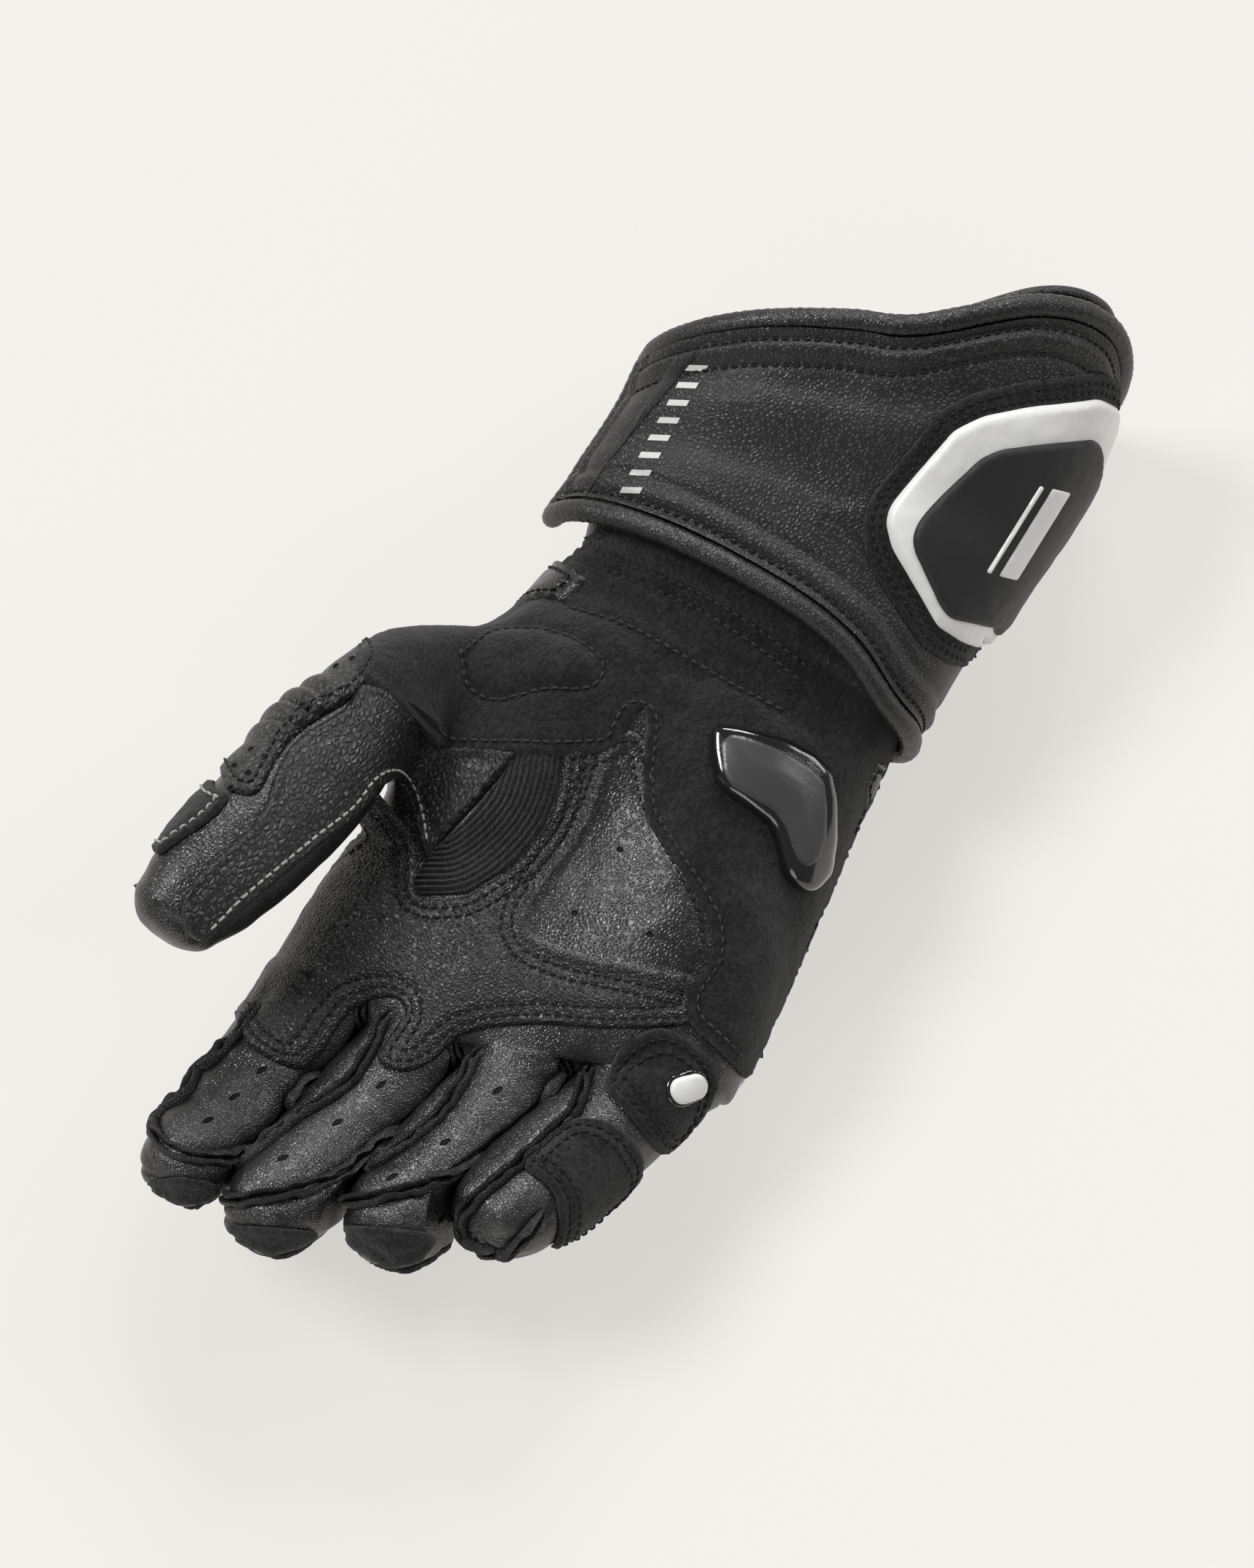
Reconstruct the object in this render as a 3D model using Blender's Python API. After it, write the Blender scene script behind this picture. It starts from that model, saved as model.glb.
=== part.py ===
"""Racing motorcycle glove for the right hand, lying on its back with the palm up.

Metres, +Z up. The origin is the middle of the knuckle guard's crown, which rests on the floor.
+Y runs from the knuckles to the cuff, the thumb is on the -X side and the little finger on the +X side.
"""
from collections import namedtuple
from math import atan2, cos, degrees, radians, sin

import bmesh
import bpy
from mathutils import Vector
from mathutils.bvhtree import BVHTree
from mathutils.geometry import delaunay_2d_cdt

# Sizes of the hand
PALM_WIDTH = 0.108
PALM_LENGTH = 0.092
PALM_THICKNESS = 0.040
BACK_HEIGHT = 0.009
LEATHER = 0.0018
SEAM_GAP = 0.0004
FINGER_GAP = 0.0012
SIDE_INSET = 0.006
FINGER_LENGTH = 0.070
FINGER_WIDTH = 0.0262
THUMB_WIDTH = 0.031

# Sizes of the cuff
CUFF_LENGTH = 0.108
CUFF_WIDTH = 0.097
CUFF_HEIGHT = 0.078
CUFF_WALL = 0.0020
FLAP_THICKNESS = 0.0026
FLAP_LIFT = 0.0026
FLAP_FLARE = 0.0030
FLAP_RISE = 0.0024
PIPING_DIAMETER = 0.0050
CUFF_SQUARENESS = 2.5

# Sizes of the panels and fittings
SUEDE = 0.0014
OVERLAY = 0.0012
PLATE = 0.0012
PANEL_GAP = 0.0005
SLIDER_HEIGHT = 0.0042
PILL_HEIGHT = 0.0020
STRAP = 0.0022
GUARD_EDGE = 0.0024
GUARD_SHOULDER = 0.012
GUARD_LEVELLED = 0.003
SLIDER_SHOULDER = 0.004
PANEL_STEP = 0.0090
RIVET_STEP = 0.002
SHORTEST_EDGE = 0.0004
EDGE_NUDGE = 0.0005
LOOK_FROM = 0.3
LOOK_FROM_AXIS = 0.09
FAR = 1.0

# One row for each palm section, from the wrist to the knuckles. along, left and right are shares of the
# palm's length and width; the heights are shares of the palm's thickness above its back.
Section = namedtuple("Section", "along left right thumb index middle ring little floor")
PALM_SECTIONS = (
    Section(1.00, -0.500, 0.345, 0.86, 1.06, 1.12, 1.06, 0.84, 0.00),
    Section(0.86, -0.525, 0.355, 0.88, 1.08, 1.10, 1.06, 0.84, -0.02),
    Section(0.66, -0.550, 0.378, 0.98, 1.14, 1.02, 1.10, 0.84, -0.02),
    Section(0.40, -0.575, 0.408, 0.94, 1.02, 0.88, 1.10, 0.86, 0.00),
    Section(0.14, -0.566, 0.446, 0.62, 0.88, 0.86, 0.98, 0.80, 0.02),
    Section(-0.08, -0.585, 0.466, 0.64, 0.88, 0.90, 0.88, 0.74, 0.04),
)
THUMB_HOLE = (2, 3, 4)
COLUMNS = 9

# One row for each finger. across and crotch are its little-finger side's place, as shares of the palm's
# width and length. length, width and depth are shares of the middle finger's length and width.
FINGER_COLUMNS = "name across crotch length width depth heading roll base_curl mid_curl tip_curl"
Finger = namedtuple("Finger", FINGER_COLUMNS)
FINGERS = (
    Finger("index", -0.300, -0.330, 0.936, 0.962, 0.897, -6.0, 4.0, 10, 26, 38),
    Finger("middle", -0.082, -0.296, 1.000, 1.000, 0.935, -8.0, 12.0, 12, 28, 40),
    Finger("ring", 0.131, -0.175, 0.914, 1.038, 0.973, -7.0, 22.0, 12, 28, 40),
    Finger("little", 0.440, -0.020, 0.900, 1.061, 0.954, -15.0, 20.0, 12, 26, 38),
)
INDEX_OUTER = (-0.575, -0.36)
CROTCH_TOP = 0.72
CROTCH_FLOOR = 0.10
CROTCH_DEPTH = 0.0022
GATE_REACH = 0.35
RING_STOPS = (0.12, 0.36, 0.60, 0.83, 0.96)
RING_FILL = (1.02, 1.0, 0.98, 0.87, 0.58)

# One row for each thumb ring: its middle as shares of the palm's width, length and thickness, then angles,
# then its width and depth as shares of the thumb's width.
ThumbRing = namedtuple("ThumbRing", "across along height heading pitch roll width depth")
THUMB = (
    ThumbRing(-0.636, 0.390, 0.94, -50, 16, -8, 1.000, 1.065),
    ThumbRing(-0.640, 0.170, 1.14, -34, 18, -8, 1.016, 0.935),
    ThumbRing(-0.669, -0.030, 1.29, -16, 18, -12, 1.000, 0.935),
    ThumbRing(-0.697, -0.240, 1.46, -6, 16, -14, 0.948, 0.855),
    ThumbRing(-0.720, -0.420, 1.56, 0, 14, -14, 0.794, 0.700),
    ThumbRing(-0.726, -0.500, 1.60, 0, 10, -14, 0.484, 0.452),
)
LIMIT_SWELL = 1.108


def mix(a, b, t):
    return a + (b - a) * t


def table_value(points, t):
    """Smooth value at t of a table of (place, value) pairs."""
    if t <= points[0][0]:
        return points[0][1]
    for (t0, v0), (t1, v1) in zip(points, points[1:]):
        if t <= t1:
            s = (t - t0) / (t1 - t0)
            return mix(v0, v1, s * s * (3 - 2 * s))
    return points[-1][1]


def material(name, colour, roughness, metallic=0.0):
    mat = bpy.data.materials.new(name)
    mat.use_nodes = True
    shader = mat.node_tree.nodes["Principled BSDF"]
    shader.inputs["Base Color"].default_value = (*colour, 1.0)
    shader.inputs["Roughness"].default_value = roughness
    shader.inputs["Metallic"].default_value = metallic
    return mat


def add_object(name, points, faces, mat):
    mesh = bpy.data.meshes.new(name)
    mesh.from_pydata([tuple(p) for p in points], [], faces)
    mesh.update()
    mesh.shade_smooth()
    mesh.set_sharp_from_angle(angle=radians(50))
    obj = bpy.data.objects.new(name, mesh)
    obj.data.materials.append(mat)
    bpy.context.scene.collection.objects.link(obj)
    return obj


def closed_object(name, points, faces, mat):
    """An object of a closed mesh, with its faces turned out."""
    obj = add_object(name, points, faces, mat)
    bm = bmesh.new()
    bm.from_mesh(obj.data)
    bmesh.ops.recalc_face_normals(bm, faces=bm.faces)
    bm.to_mesh(obj.data)
    bm.free()
    return obj


Frame = namedtuple("Frame", "centre side lift")


def frame_at(centre, heading, pitch, roll):
    """The little-finger side's and palm side's directions of a finger that points this way."""
    h, p, r = radians(heading), radians(pitch), radians(roll)
    ahead = Vector((sin(h) * cos(p), -cos(h) * cos(p), sin(p)))
    level = Vector((cos(h), sin(h), 0.0))
    side = level * cos(r) + ahead.cross(level) * sin(r)
    return Frame(centre, side, ahead.cross(side))


def oval_ring(frame, width, depth):
    """Eight points round a finger: palm side from left to right, little-finger side, back, thumb side."""
    a, b = width / 2 * LIMIT_SWELL, depth / 2 * LIMIT_SWELL
    corner = 0.76
    palm_side = ((-corner, corner), (0, 1), (corner, corner), (1, 0))
    shape = palm_side + tuple((-x, -z) for x, z in palm_side)
    return [frame.centre + frame.side * (a * x) + frame.lift * (b * z) for x, z in shape]


def palm_ring(section):
    """Twenty points round the palm: nine over the palm side, one side, nine under the back, one side."""
    left, right = section.left * PALM_WIDTH, section.right * PALM_WIDTH
    y = section.along * PALM_LENGTH
    floor = BACK_HEIGHT + section.floor * PALM_THICKNESS
    over = (section.thumb, section.index, section.middle, section.ring, section.little)
    heights = [(2 * k, height) for k, height in enumerate(over)]
    top, back = [], []
    for j in range(COLUMNS):
        x = mix(left + SIDE_INSET, right - SIDE_INSET, j / (COLUMNS - 1))
        edge = abs(2 * j / (COLUMNS - 1) - 1) ** 4
        top.append(Vector((x, y, BACK_HEIGHT + table_value(heights, j) * PALM_THICKNESS)))
        back.append(Vector((x, y, floor + 0.16 * edge * PALM_THICKNESS)))
    middle = BACK_HEIGHT + 0.42 * PALM_THICKNESS
    return top, Vector((right, y, middle)), back, Vector((left, y, middle))


def crotch_ring():
    """The ring where the fingers part. Columns 0, 2, 4, 6 and 8 are the sides of the fingers."""
    gates = [INDEX_OUTER] + [(f.across, f.crotch) for f in FINGERS]
    top, back = [], []
    for j in range(COLUMNS):
        a = gates[j // 2]
        b = gates[min((j + 1) // 2, 4)]
        x = (a[0] + b[0]) / 2 * PALM_WIDTH
        y = (a[1] + b[1]) / 2 * PALM_LENGTH
        inset = SIDE_INSET * ((j == 0) - (j == COLUMNS - 1))
        rise = 0.10 if j % 2 else 0.0
        top.append(Vector((x + inset, y, BACK_HEIGHT + (CROTCH_TOP + rise) * PALM_THICKNESS)))
        back.append(Vector((x + inset, y, BACK_HEIGHT + (CROTCH_FLOOR - rise / 2) * PALM_THICKNESS)))
    middle = BACK_HEIGHT + (CROTCH_TOP + CROTCH_FLOOR) / 2 * PALM_THICKNESS
    right = Vector((gates[-1][0] * PALM_WIDTH, gates[-1][1] * PALM_LENGTH, middle))
    left = Vector((gates[0][0] * PALM_WIDTH, gates[0][1] * PALM_LENGTH, middle))
    return top, right, back, left


def finger_frames(finger, base):
    """The frames along one finger, from the middle of its gate."""
    frames = []
    centre = base.copy()
    travelled = 0.0
    base_curl, mid_curl, tip_curl = finger.base_curl, finger.mid_curl, finger.tip_curl
    stops = ((0.0, base_curl), (0.34, base_curl), (0.62, mid_curl), (1.0, tip_curl))
    for stop in RING_STOPS:
        h, p = radians(finger.heading), radians(table_value(stops, (stop + travelled) / 2))
        step = (stop - travelled) * finger.length * FINGER_LENGTH
        centre = centre + Vector((sin(h) * cos(p), -cos(h) * cos(p), sin(p))) * step
        travelled = stop
        frames.append(frame_at(centre, finger.heading, table_value(stops, stop), finger.roll))
    return frames


def thumb_frames():
    """The frames along the thumb."""
    frames = []
    for row in THUMB:
        height = BACK_HEIGHT + row.height * PALM_THICKNESS
        centre = Vector((row.across * PALM_WIDTH, row.along * PALM_LENGTH, height))
        frames.append(frame_at(centre, row.heading, row.pitch, row.roll))
    return frames


def hand_cage():
    """Points, faces, part numbers and frames of the cage.

    The part numbers are 0 for the palm, 1 to 4 for the fingers, 5 for the thumb and 6 to 9 for the roots
    of the fingers.
    """
    points, faces, parts = [], [], []
    axes = {}

    def add(p):
        points.append(Vector(p))
        return len(points) - 1

    def loop_faces(a, b, part):
        n = len(a)
        for k in range(n):
            faces.append((a[k], a[(k + 1) % n], b[(k + 1) % n], b[k]))
            parts.append(part)

    rings = []
    for data in [palm_ring(s) for s in PALM_SECTIONS] + [crotch_ring()]:
        top, right, back, left = data
        ring = dict(top=[add(p) for p in top], right=add(right), back=[add(p) for p in back])
        rings.append(dict(ring, left=add(left)))
    for k, (a, b) in enumerate(zip(rings, rings[1:])):
        loop_a = a["top"] + [a["right"]] + a["back"][::-1] + [a["left"]]
        loop_b = b["top"] + [b["right"]] + b["back"][::-1] + [b["left"]]
        n = len(loop_a)
        for j in range(n):
            if k in THUMB_HOLE[:2] and j in (n - 2, n - 1):
                continue
            faces.append((loop_a[j], loop_a[(j + 1) % n], loop_b[(j + 1) % n], loop_b[j]))
            parts.append(0)
    last = rings[-1]
    crotches = [last["left"]]
    for j in (2, 4, 6):
        crotches.append(add((points[last["top"][j]] + points[last["back"][j]]) / 2))
    crotches.append(last["right"])
    for f, finger in enumerate(FINGERS):
        j = 2 * f
        gate = last["top"][j:j + 3] + [crotches[f + 1]] + last["back"][j:j + 3][::-1] + [crotches[f]]
        base = sum((points[i] for i in gate), Vector()) / len(gate)
        previous = gate
        axes[finger.name] = finger_frames(finger, base)
        slant = points[last["top"][j + 2]] - points[last["top"][j]]
        for number, (frame, fill) in enumerate(zip(axes[finger.name], RING_FILL)):
            if number == 0:
                heading = (finger.heading + degrees(atan2(slant.y, slant.x))) / 2
                centre = mix(frame.centre, axes[finger.name][1].centre, GATE_REACH)
                frame = frame_at(centre, heading, finger.base_curl, finger.roll)
            size = FINGER_WIDTH * fill
            current = [add(p) for p in oval_ring(frame, finger.width * size, finger.depth * size)]
            loop_faces(previous, current, f + 1 if number else f + 6)
            previous = current
        close_tip(points, faces, parts, previous, f + 1)
    first, second, third = (rings[k] for k in THUMB_HOLE)
    gate = [first["top"][0], second["top"][0], third["top"][0], third["left"],
            third["back"][0], second["back"][0], first["back"][0], first["left"]]
    previous = gate
    axes["thumb"] = thumb_frames()
    for number, (frame, row) in enumerate(zip(axes["thumb"], THUMB)):
        current = [add(p) for p in oval_ring(frame, row.width * THUMB_WIDTH, row.depth * THUMB_WIDTH)]
        loop_faces(previous, current, 5 if number > 1 else 0)
        previous = current
    close_tip(points, faces, parts, previous, 5)
    return points, faces, parts, axes


def close_tip(points, faces, parts, ring, part):
    """Closes an eight-point ring with four quads round its middle."""
    points.append(sum((points[i] for i in ring), Vector()) / len(ring))
    middle = len(points) - 1
    for k in range(1, 8, 2):
        faces.append((ring[k], ring[(k + 1) % 8], ring[(k + 2) % 8], middle))
        parts.append(part)


def smooth_surface(points, faces, parts, levels):
    """The cage's subdivided surface as points, faces and part numbers."""
    mesh = bpy.data.meshes.new("cage")
    mesh.from_pydata([tuple(p) for p in points], [], faces)
    for _ in range(10):
        mesh.materials.append(None)
    mesh.polygons.foreach_set("material_index", parts)
    obj = bpy.data.objects.new("cage", mesh)
    bpy.context.scene.collection.objects.link(obj)
    bm = bmesh.new()
    bm.from_mesh(mesh)
    bmesh.ops.recalc_face_normals(bm, faces=bm.faces)
    bm.to_mesh(mesh)
    bm.free()
    modifier = obj.modifiers.new("smooth", "SUBSURF")
    modifier.levels = levels
    modifier.render_levels = levels
    graph = bpy.context.evaluated_depsgraph_get()
    evaluated = obj.evaluated_get(graph).to_mesh()
    made = [v.co.copy() for v in evaluated.vertices]
    quads = [tuple(p.vertices) for p in evaluated.polygons]
    numbers = [p.material_index for p in evaluated.polygons]
    bpy.data.objects.remove(obj)
    return made, quads, numbers


def nearest_on(frames, p):
    """The nearest point to p on the line through the frames' centres."""
    best, place = FAR, None
    for a, b in zip(frames, frames[1:]):
        d = b.centre - a.centre
        t = max(0.0, min(1.0, (p - a.centre).dot(d) / d.length_squared))
        q = a.centre + d * t
        if (q - p).length < best:
            best, place = (q - p).length, q
    return place


def part_fingers(points, quads, numbers, axes):
    """Presses neighbouring fingers flat where they meet, a seam's gap apart."""
    owners = {}
    for q, n in zip(quads, numbers):
        if n in (1, 2, 3, 4, 6, 7, 8, 9):
            for v in q:
                owners.setdefault(v, set()).add(n - 1 if n < 6 else n - 6)
    for v, fingers in owners.items():
        shared = len(fingers) > 1
        mine = min(fingers)
        for other in (mine + 1,) if shared else (mine - 1, mine + 1):
            if not 0 <= other < len(FINGERS):
                continue
            a = nearest_on(axes[FINGERS[mine].name], points[v])
            b = nearest_on(axes[FINGERS[other].name], points[v])
            share = FINGERS[mine].width / (FINGERS[mine].width + FINGERS[other].width)
            toward = (b - a).normalized()
            over = (points[v] - mix(a, b, share)).dot(toward)
            if shared:
                points[v] = points[v] - toward * over + Vector((0, CROTCH_DEPTH, 0))
                continue
            over += FINGER_GAP / 2
            if over > 0:
                points[v] = points[v] - toward * over


def smooth_normals(points, quads):
    """Normals at the points, from the faces round them."""
    normals = [Vector() for _ in points]
    for a, b, c, d in quads:
        n = (points[c] - points[a]).cross(points[d] - points[b]).normalized()
        for v in (a, b, c, d):
            normals[v] += n
    return [n.normalized() for n in normals]


def shell_part(name, surface, wanted, wall, mat):
    """One sewn part of the hand: its outer faces, an inner skin a wall inside them, and the rims between."""
    points, normals, quads, numbers = surface
    mine = [q for q, n in zip(quads, numbers) if n in wanted]
    edges = {}
    for q in mine:
        for a, b in zip(q, q[1:] + q[:1]):
            edges[(a, b)] = True
    rim = [(a, b) for a, b in edges if (b, a) not in edges]
    used = sorted({i for q in mine for i in q})
    index = {v: k for k, v in enumerate(used)}
    inward = {}
    for a, b in rim:
        for q in mine:
            if a in q and b in q:
                centre = sum((points[i] for i in q), Vector()) / 4
                for v in (a, b):
                    away = centre - points[v]
                    inward.setdefault(v, Vector())
                    inward[v] += away.normalized()
    outer = []
    for v in used:
        p = points[v].copy()
        if v in inward:
            p += inward[v].normalized() * (SEAM_GAP / 2)
        outer.append(p)
    inner = [p - normals[v] * wall for p, v in zip(outer, used)]
    count = len(used)
    faces = [tuple(index[i] for i in q) for q in mine]
    faces += [tuple(index[i] + count for i in reversed(q)) for q in mine]
    faces += [(index[b], index[a], index[a] + count, index[b] + count) for a, b in rim]
    return add_object(name, outer + inner, faces, mat)


def rounded(outline, rounds=2):
    """Corner cutting, which turns a short list of corners into a smooth closed outline."""
    for _ in range(rounds):
        cut = []
        for a, b in zip(outline, outline[1:] + outline[:1]):
            cut += [mix(a, b, 0.25), mix(a, b, 0.75)]
        outline = cut
    return outline


def spaced(outline, step):
    """The outline with points about a step apart."""
    made = []
    for a, b in zip(outline, outline[1:] + outline[:1]):
        pieces = max(1, round((b - a).length / step))
        made += [mix(a, b, k / pieces) for k in range(pieces)]
    return [p for p, q in zip(made, made[1:] + made[:1]) if (p - q).length > SHORTEST_EDGE]


def inside(p, outline):
    hit = False
    for a, b in zip(outline, outline[1:] + outline[:1]):
        if (a.y > p.y) != (b.y > p.y) and p.x < a.x + (p.y - a.y) / (b.y - a.y) * (b.x - a.x):
            hit = not hit
    return hit


def edge_distance(p, outline):
    best = FAR
    for a, b in zip(outline, outline[1:] + outline[:1]):
        d = b - a
        t = max(0.0, min(1.0, (p - a).dot(d) / d.length_squared))
        best = min(best, (a + d * t - p).length)
    return best


def filled(outline, step):
    """Triangles that fill an outline, with a grid of points inside it."""
    lows = [min(p[k] for p in outline) for k in (0, 1)]
    highs = [max(p[k] for p in outline) for k in (0, 1)]
    grid = []
    rows = int((highs[1] - lows[1]) / (step * 0.866)) + 1
    columns = int((highs[0] - lows[0]) / step) + 1
    for r in range(rows + 1):
        for c in range(columns + 1):
            p = Vector((lows[0] + (c + 0.5 * (r % 2)) * step, lows[1] + r * step * 0.866))
            if inside(p, outline) and edge_distance(p, outline) > 0.55 * step:
                grid.append(p)
    points = outline + grid
    edges = [(k, (k + 1) % len(outline)) for k in range(len(outline))]
    made, _, faces, _, _, _ = delaunay_2d_cdt(points, edges, [], 1, 1e-7)
    return [Vector(p) for p in made], [tuple(f) for f in faces], len(outline)


# Where a panel's triangles are held off the skin, as shares of their corners
PROBES = (
    (0.5, 0.5, 0.0), (0.5, 0.0, 0.5), (0.0, 0.5, 0.5), (0.34, 0.33, 0.33), (0.6, 0.2, 0.2), (0.2, 0.6, 0.2),
    (0.2, 0.2, 0.6), (0.75, 0.25, 0.0), (0.25, 0.75, 0.0), (0.0, 0.75, 0.25), (0.0, 0.25, 0.75),
    (0.75, 0.0, 0.25), (0.25, 0.0, 0.75),
)


def weighted(points, shares):
    return points[0] * shares[0] + points[1] * shares[1] + points[2] * shares[2]


def plate(name, flat, faces, outline, project, thickness, mat, gap, shape=None):
    """A thin closed piece: flat triangles laid on a surface by project, which gives a hit and its normal."""
    hits, outs = zip(*(project(p) for p in flat))
    lifts = [gap] * len(flat)
    probes = []
    for a, b, c in faces:
        for shares in PROBES:
            probes.append(((a, b, c), shares, *project(weighted((flat[a], flat[b], flat[c]), shares))))
    for _ in range(6):
        short = [0.0] * len(flat)
        for span, shares, hit, normal in probes:
            under = weighted([hits[i] + outs[i] * lifts[i] for i in span], shares)
            lack = (hit - under).dot(normal) + 0.8 * gap
            for i, share in zip(span, shares):
                if share > 0.1:
                    short[i] = max(short[i], lack)
        lifts = [a + b for a, b in zip(lifts, short)]
    low = [hit + out * lift for hit, out, lift in zip(hits, outs, lifts)]
    rises = [thickness if shape is None else shape(p, edge_distance(p, outline)) for p in flat]
    high = [p + out * rise for p, out, rise in zip(low, outs, rises)]
    high = [Vector((p.x, p.y, max(0.0, p.z))) for p in high]
    count = len(flat)
    turned = sum((high[b] - high[a]).cross(high[c] - high[a]).dot(outs[a]) for a, b, c in faces) < 0
    tops = [f[::-1] if turned else f for f in faces]
    edges = {pair for f in tops for pair in zip(f, f[1:] + f[:1])}
    rim = [(a, b) for a, b in sorted(edges) if (b, a) not in edges]
    sides = [(b, a, a + count, b + count) for a, b in rim]
    bottoms = [tuple(i + count for i in reversed(f)) for f in tops]
    return add_object(name, high + low, tops + bottoms + sides, mat)


def panel(name, outline, tilt, tree, thickness, mat, gap=PANEL_GAP, step=PANEL_STEP, shape=None, rounds=2):
    """A piece laid on the hand under an outline of (across, along) shares of the palm's sizes.

    It is laid on from the palm side at tilt 0, from the little-finger side at 90 and from the back at 180.
    """
    t = radians(tilt)
    out, across = Vector((sin(t), 0, cos(t))), Vector((cos(t), 0, -sin(t)))

    def project(p):
        start = across * p.x + Vector((0, p.y, 0)) + out * LOOK_FROM
        hit, normal, _, _ = tree.ray_cast(start, -out)
        if hit is None:
            hit, normal, _, _ = tree.find_nearest(start - out * 0.9 * LOOK_FROM)
        if normal.dot(out) < 0:
            normal = -normal
        return hit, (normal * 0.6 + out * 0.4).normalized()

    def faces_out(p):
        hit, normal, _, _ = tree.ray_cast(across * p.x + Vector((0, p.y, 0)) + out * LOOK_FROM, -out)
        return hit is not None and abs(normal.dot(out)) > 0.42

    corners = [Vector((u * PALM_WIDTH, v * PALM_LENGTH)) for u, v in outline]
    smooth = rounded(corners, rounds)
    middle = sum(p.x for p in smooth) / len(smooth)
    for p in smooth:
        inward = EDGE_NUDGE if p.x < middle else -EDGE_NUDGE
        while not faces_out(p) and abs(p.x - middle) > 2 * EDGE_NUDGE:
            p.x += inward
    smooth = spaced(smooth, step)
    flat, faces, _ = filled(smooth, step)
    return plate(name, flat, faces, smooth, project, thickness, mat, gap, shape)


def wrap(name, outline, frames, radius, tree, thickness, mat, gap=PANEL_GAP, step=PANEL_STEP, rounds=2):
    """A piece wrapped round an axis, under an outline of (share of it, angle from the little-finger side)."""
    length = axis_length(frames)
    stops = len(frames) - 1

    def project(p):
        along = min(max(p.x / length * stops, -1.5), stops + 0.5)
        k = min(max(int(along), 0), stops - 1)
        a, b = frames[k], frames[k + 1]
        t = along - k
        angle = p.y / radius
        axis = mix(a.centre, b.centre, t)
        out = (mix(a.side, b.side, t) * cos(angle) + mix(a.lift, b.lift, t) * sin(angle)).normalized()
        hit, normal, _, _ = tree.ray_cast(axis + out * LOOK_FROM_AXIS, -out)
        if hit is None:
            hit, normal, _, _ = tree.find_nearest(axis + out * radius)
        if normal.dot(out) < 0:
            normal = -normal
        return hit, (normal * 0.6 + out * 0.4).normalized()

    corners = [Vector((share * length, radians(angle) * radius)) for share, angle in outline]
    smooth = spaced(rounded(corners, rounds), step)
    flat, faces, _ = filled(smooth, step)
    return plate(name, flat, faces, smooth, project, thickness, mat, gap)


def tree_of(*objects):
    """A tree of the faces of these objects."""
    points, faces = [], []
    for obj in objects:
        start = len(points)
        points += [v.co.copy() for v in obj.data.vertices]
        faces += [tuple(i + start for i in p.vertices) for p in obj.data.polygons]
    return BVHTree.FromPolygons(points, faces)


# Outlines on the palm side, as (across, along) shares of the palm's width and length
PALM_SUEDE_OUTLINE = (
    (-0.560, 0.975), (-0.45, 0.985), (-0.106, 0.985), (0.115, 0.985), (0.245, 0.96), (0.280, 0.80),
    (0.325, 0.55), (0.362, 0.30), (0.390, 0.10), (0.370, 0.01), (0.275, 0.030), (0.185, 0.045),
    (0.142, 0.105), (0.171, 0.22), (0.117, 0.28), (-0.007, 0.36), (-0.116, 0.43), (-0.169, 0.53),
    (-0.226, 0.69), (-0.252, 0.69), (-0.241, 0.54), (-0.331, 0.45), (-0.460, 0.37), (-0.555, 0.345),
    (-0.620, 0.36), (-0.680, 0.39), (-0.710, 0.44), (-0.67, 0.50), (-0.62, 0.56), (-0.57, 0.66),
    (-0.560, 0.82),
)
PALM_OVERLAY_OUTLINE = (
    (-0.175, 0.485), (-0.125, 0.555), (-0.092, 0.49), (-0.038, 0.39), (0.075, 0.325), (0.195, 0.25),
    (0.235, 0.21), (0.205, 0.11), (0.24, 0.02), (0.13, -0.085), (0.02, -0.15), (-0.07, -0.22),
    (-0.12, -0.28), (-0.155, -0.37), (-0.235, -0.38), (-0.25, -0.30), (-0.31, -0.30), (-0.36, -0.39),
    (-0.46, -0.415), (-0.535, -0.35), (-0.530, -0.15), (-0.500, 0.00), (-0.45, 0.02), (-0.395, -0.01),
    (-0.355, -0.05), (-0.255, 0.02), (-0.205, 0.15), (-0.19, 0.28), (-0.205, 0.39),
)
GUSSET_OUTLINE = (
    (-0.390, 0.035), (-0.355, -0.03), (-0.268, 0.035), (-0.222, 0.15), (-0.208, 0.28), (-0.224, 0.385),
    (-0.250, 0.425), (-0.318, 0.37), (-0.325, 0.28), (-0.346, 0.17),
)
SUEDE_TILT = 12
SLIDER_TILT = 20
SLIDER_OUTLINE = (
    (-0.145, 0.69), (-0.135, 0.755), (-0.06, 0.775), (0.08, 0.825), (0.145, 0.80), (0.19, 0.72),
    (0.235, 0.62), (0.255, 0.54), (0.215, 0.475), (0.150, 0.48), (0.095, 0.555), (0.03, 0.585),
    (-0.06, 0.575), (-0.115, 0.625),
)
KNUCKLE_GUARD_OUTLINE = (
    (0.42, -0.24), (0.40, 0.02), (0.30, 0.17), (0.05, 0.20), (-0.20, 0.24), (-0.36, 0.28), (-0.43, 0.16),
    (-0.43, -0.02), (-0.30, -0.14), (-0.05, -0.20), (0.20, -0.28), (0.34, -0.32),
)
# Where the little rivet sits on the little finger's base: share of the finger's axis and angle
PILL_SHARE, PILL_ANGLE = -0.11, 39
PILL_LENGTH, PILL_WIDTH, PILL_TURN = 0.0082, 0.0048, 20

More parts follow.
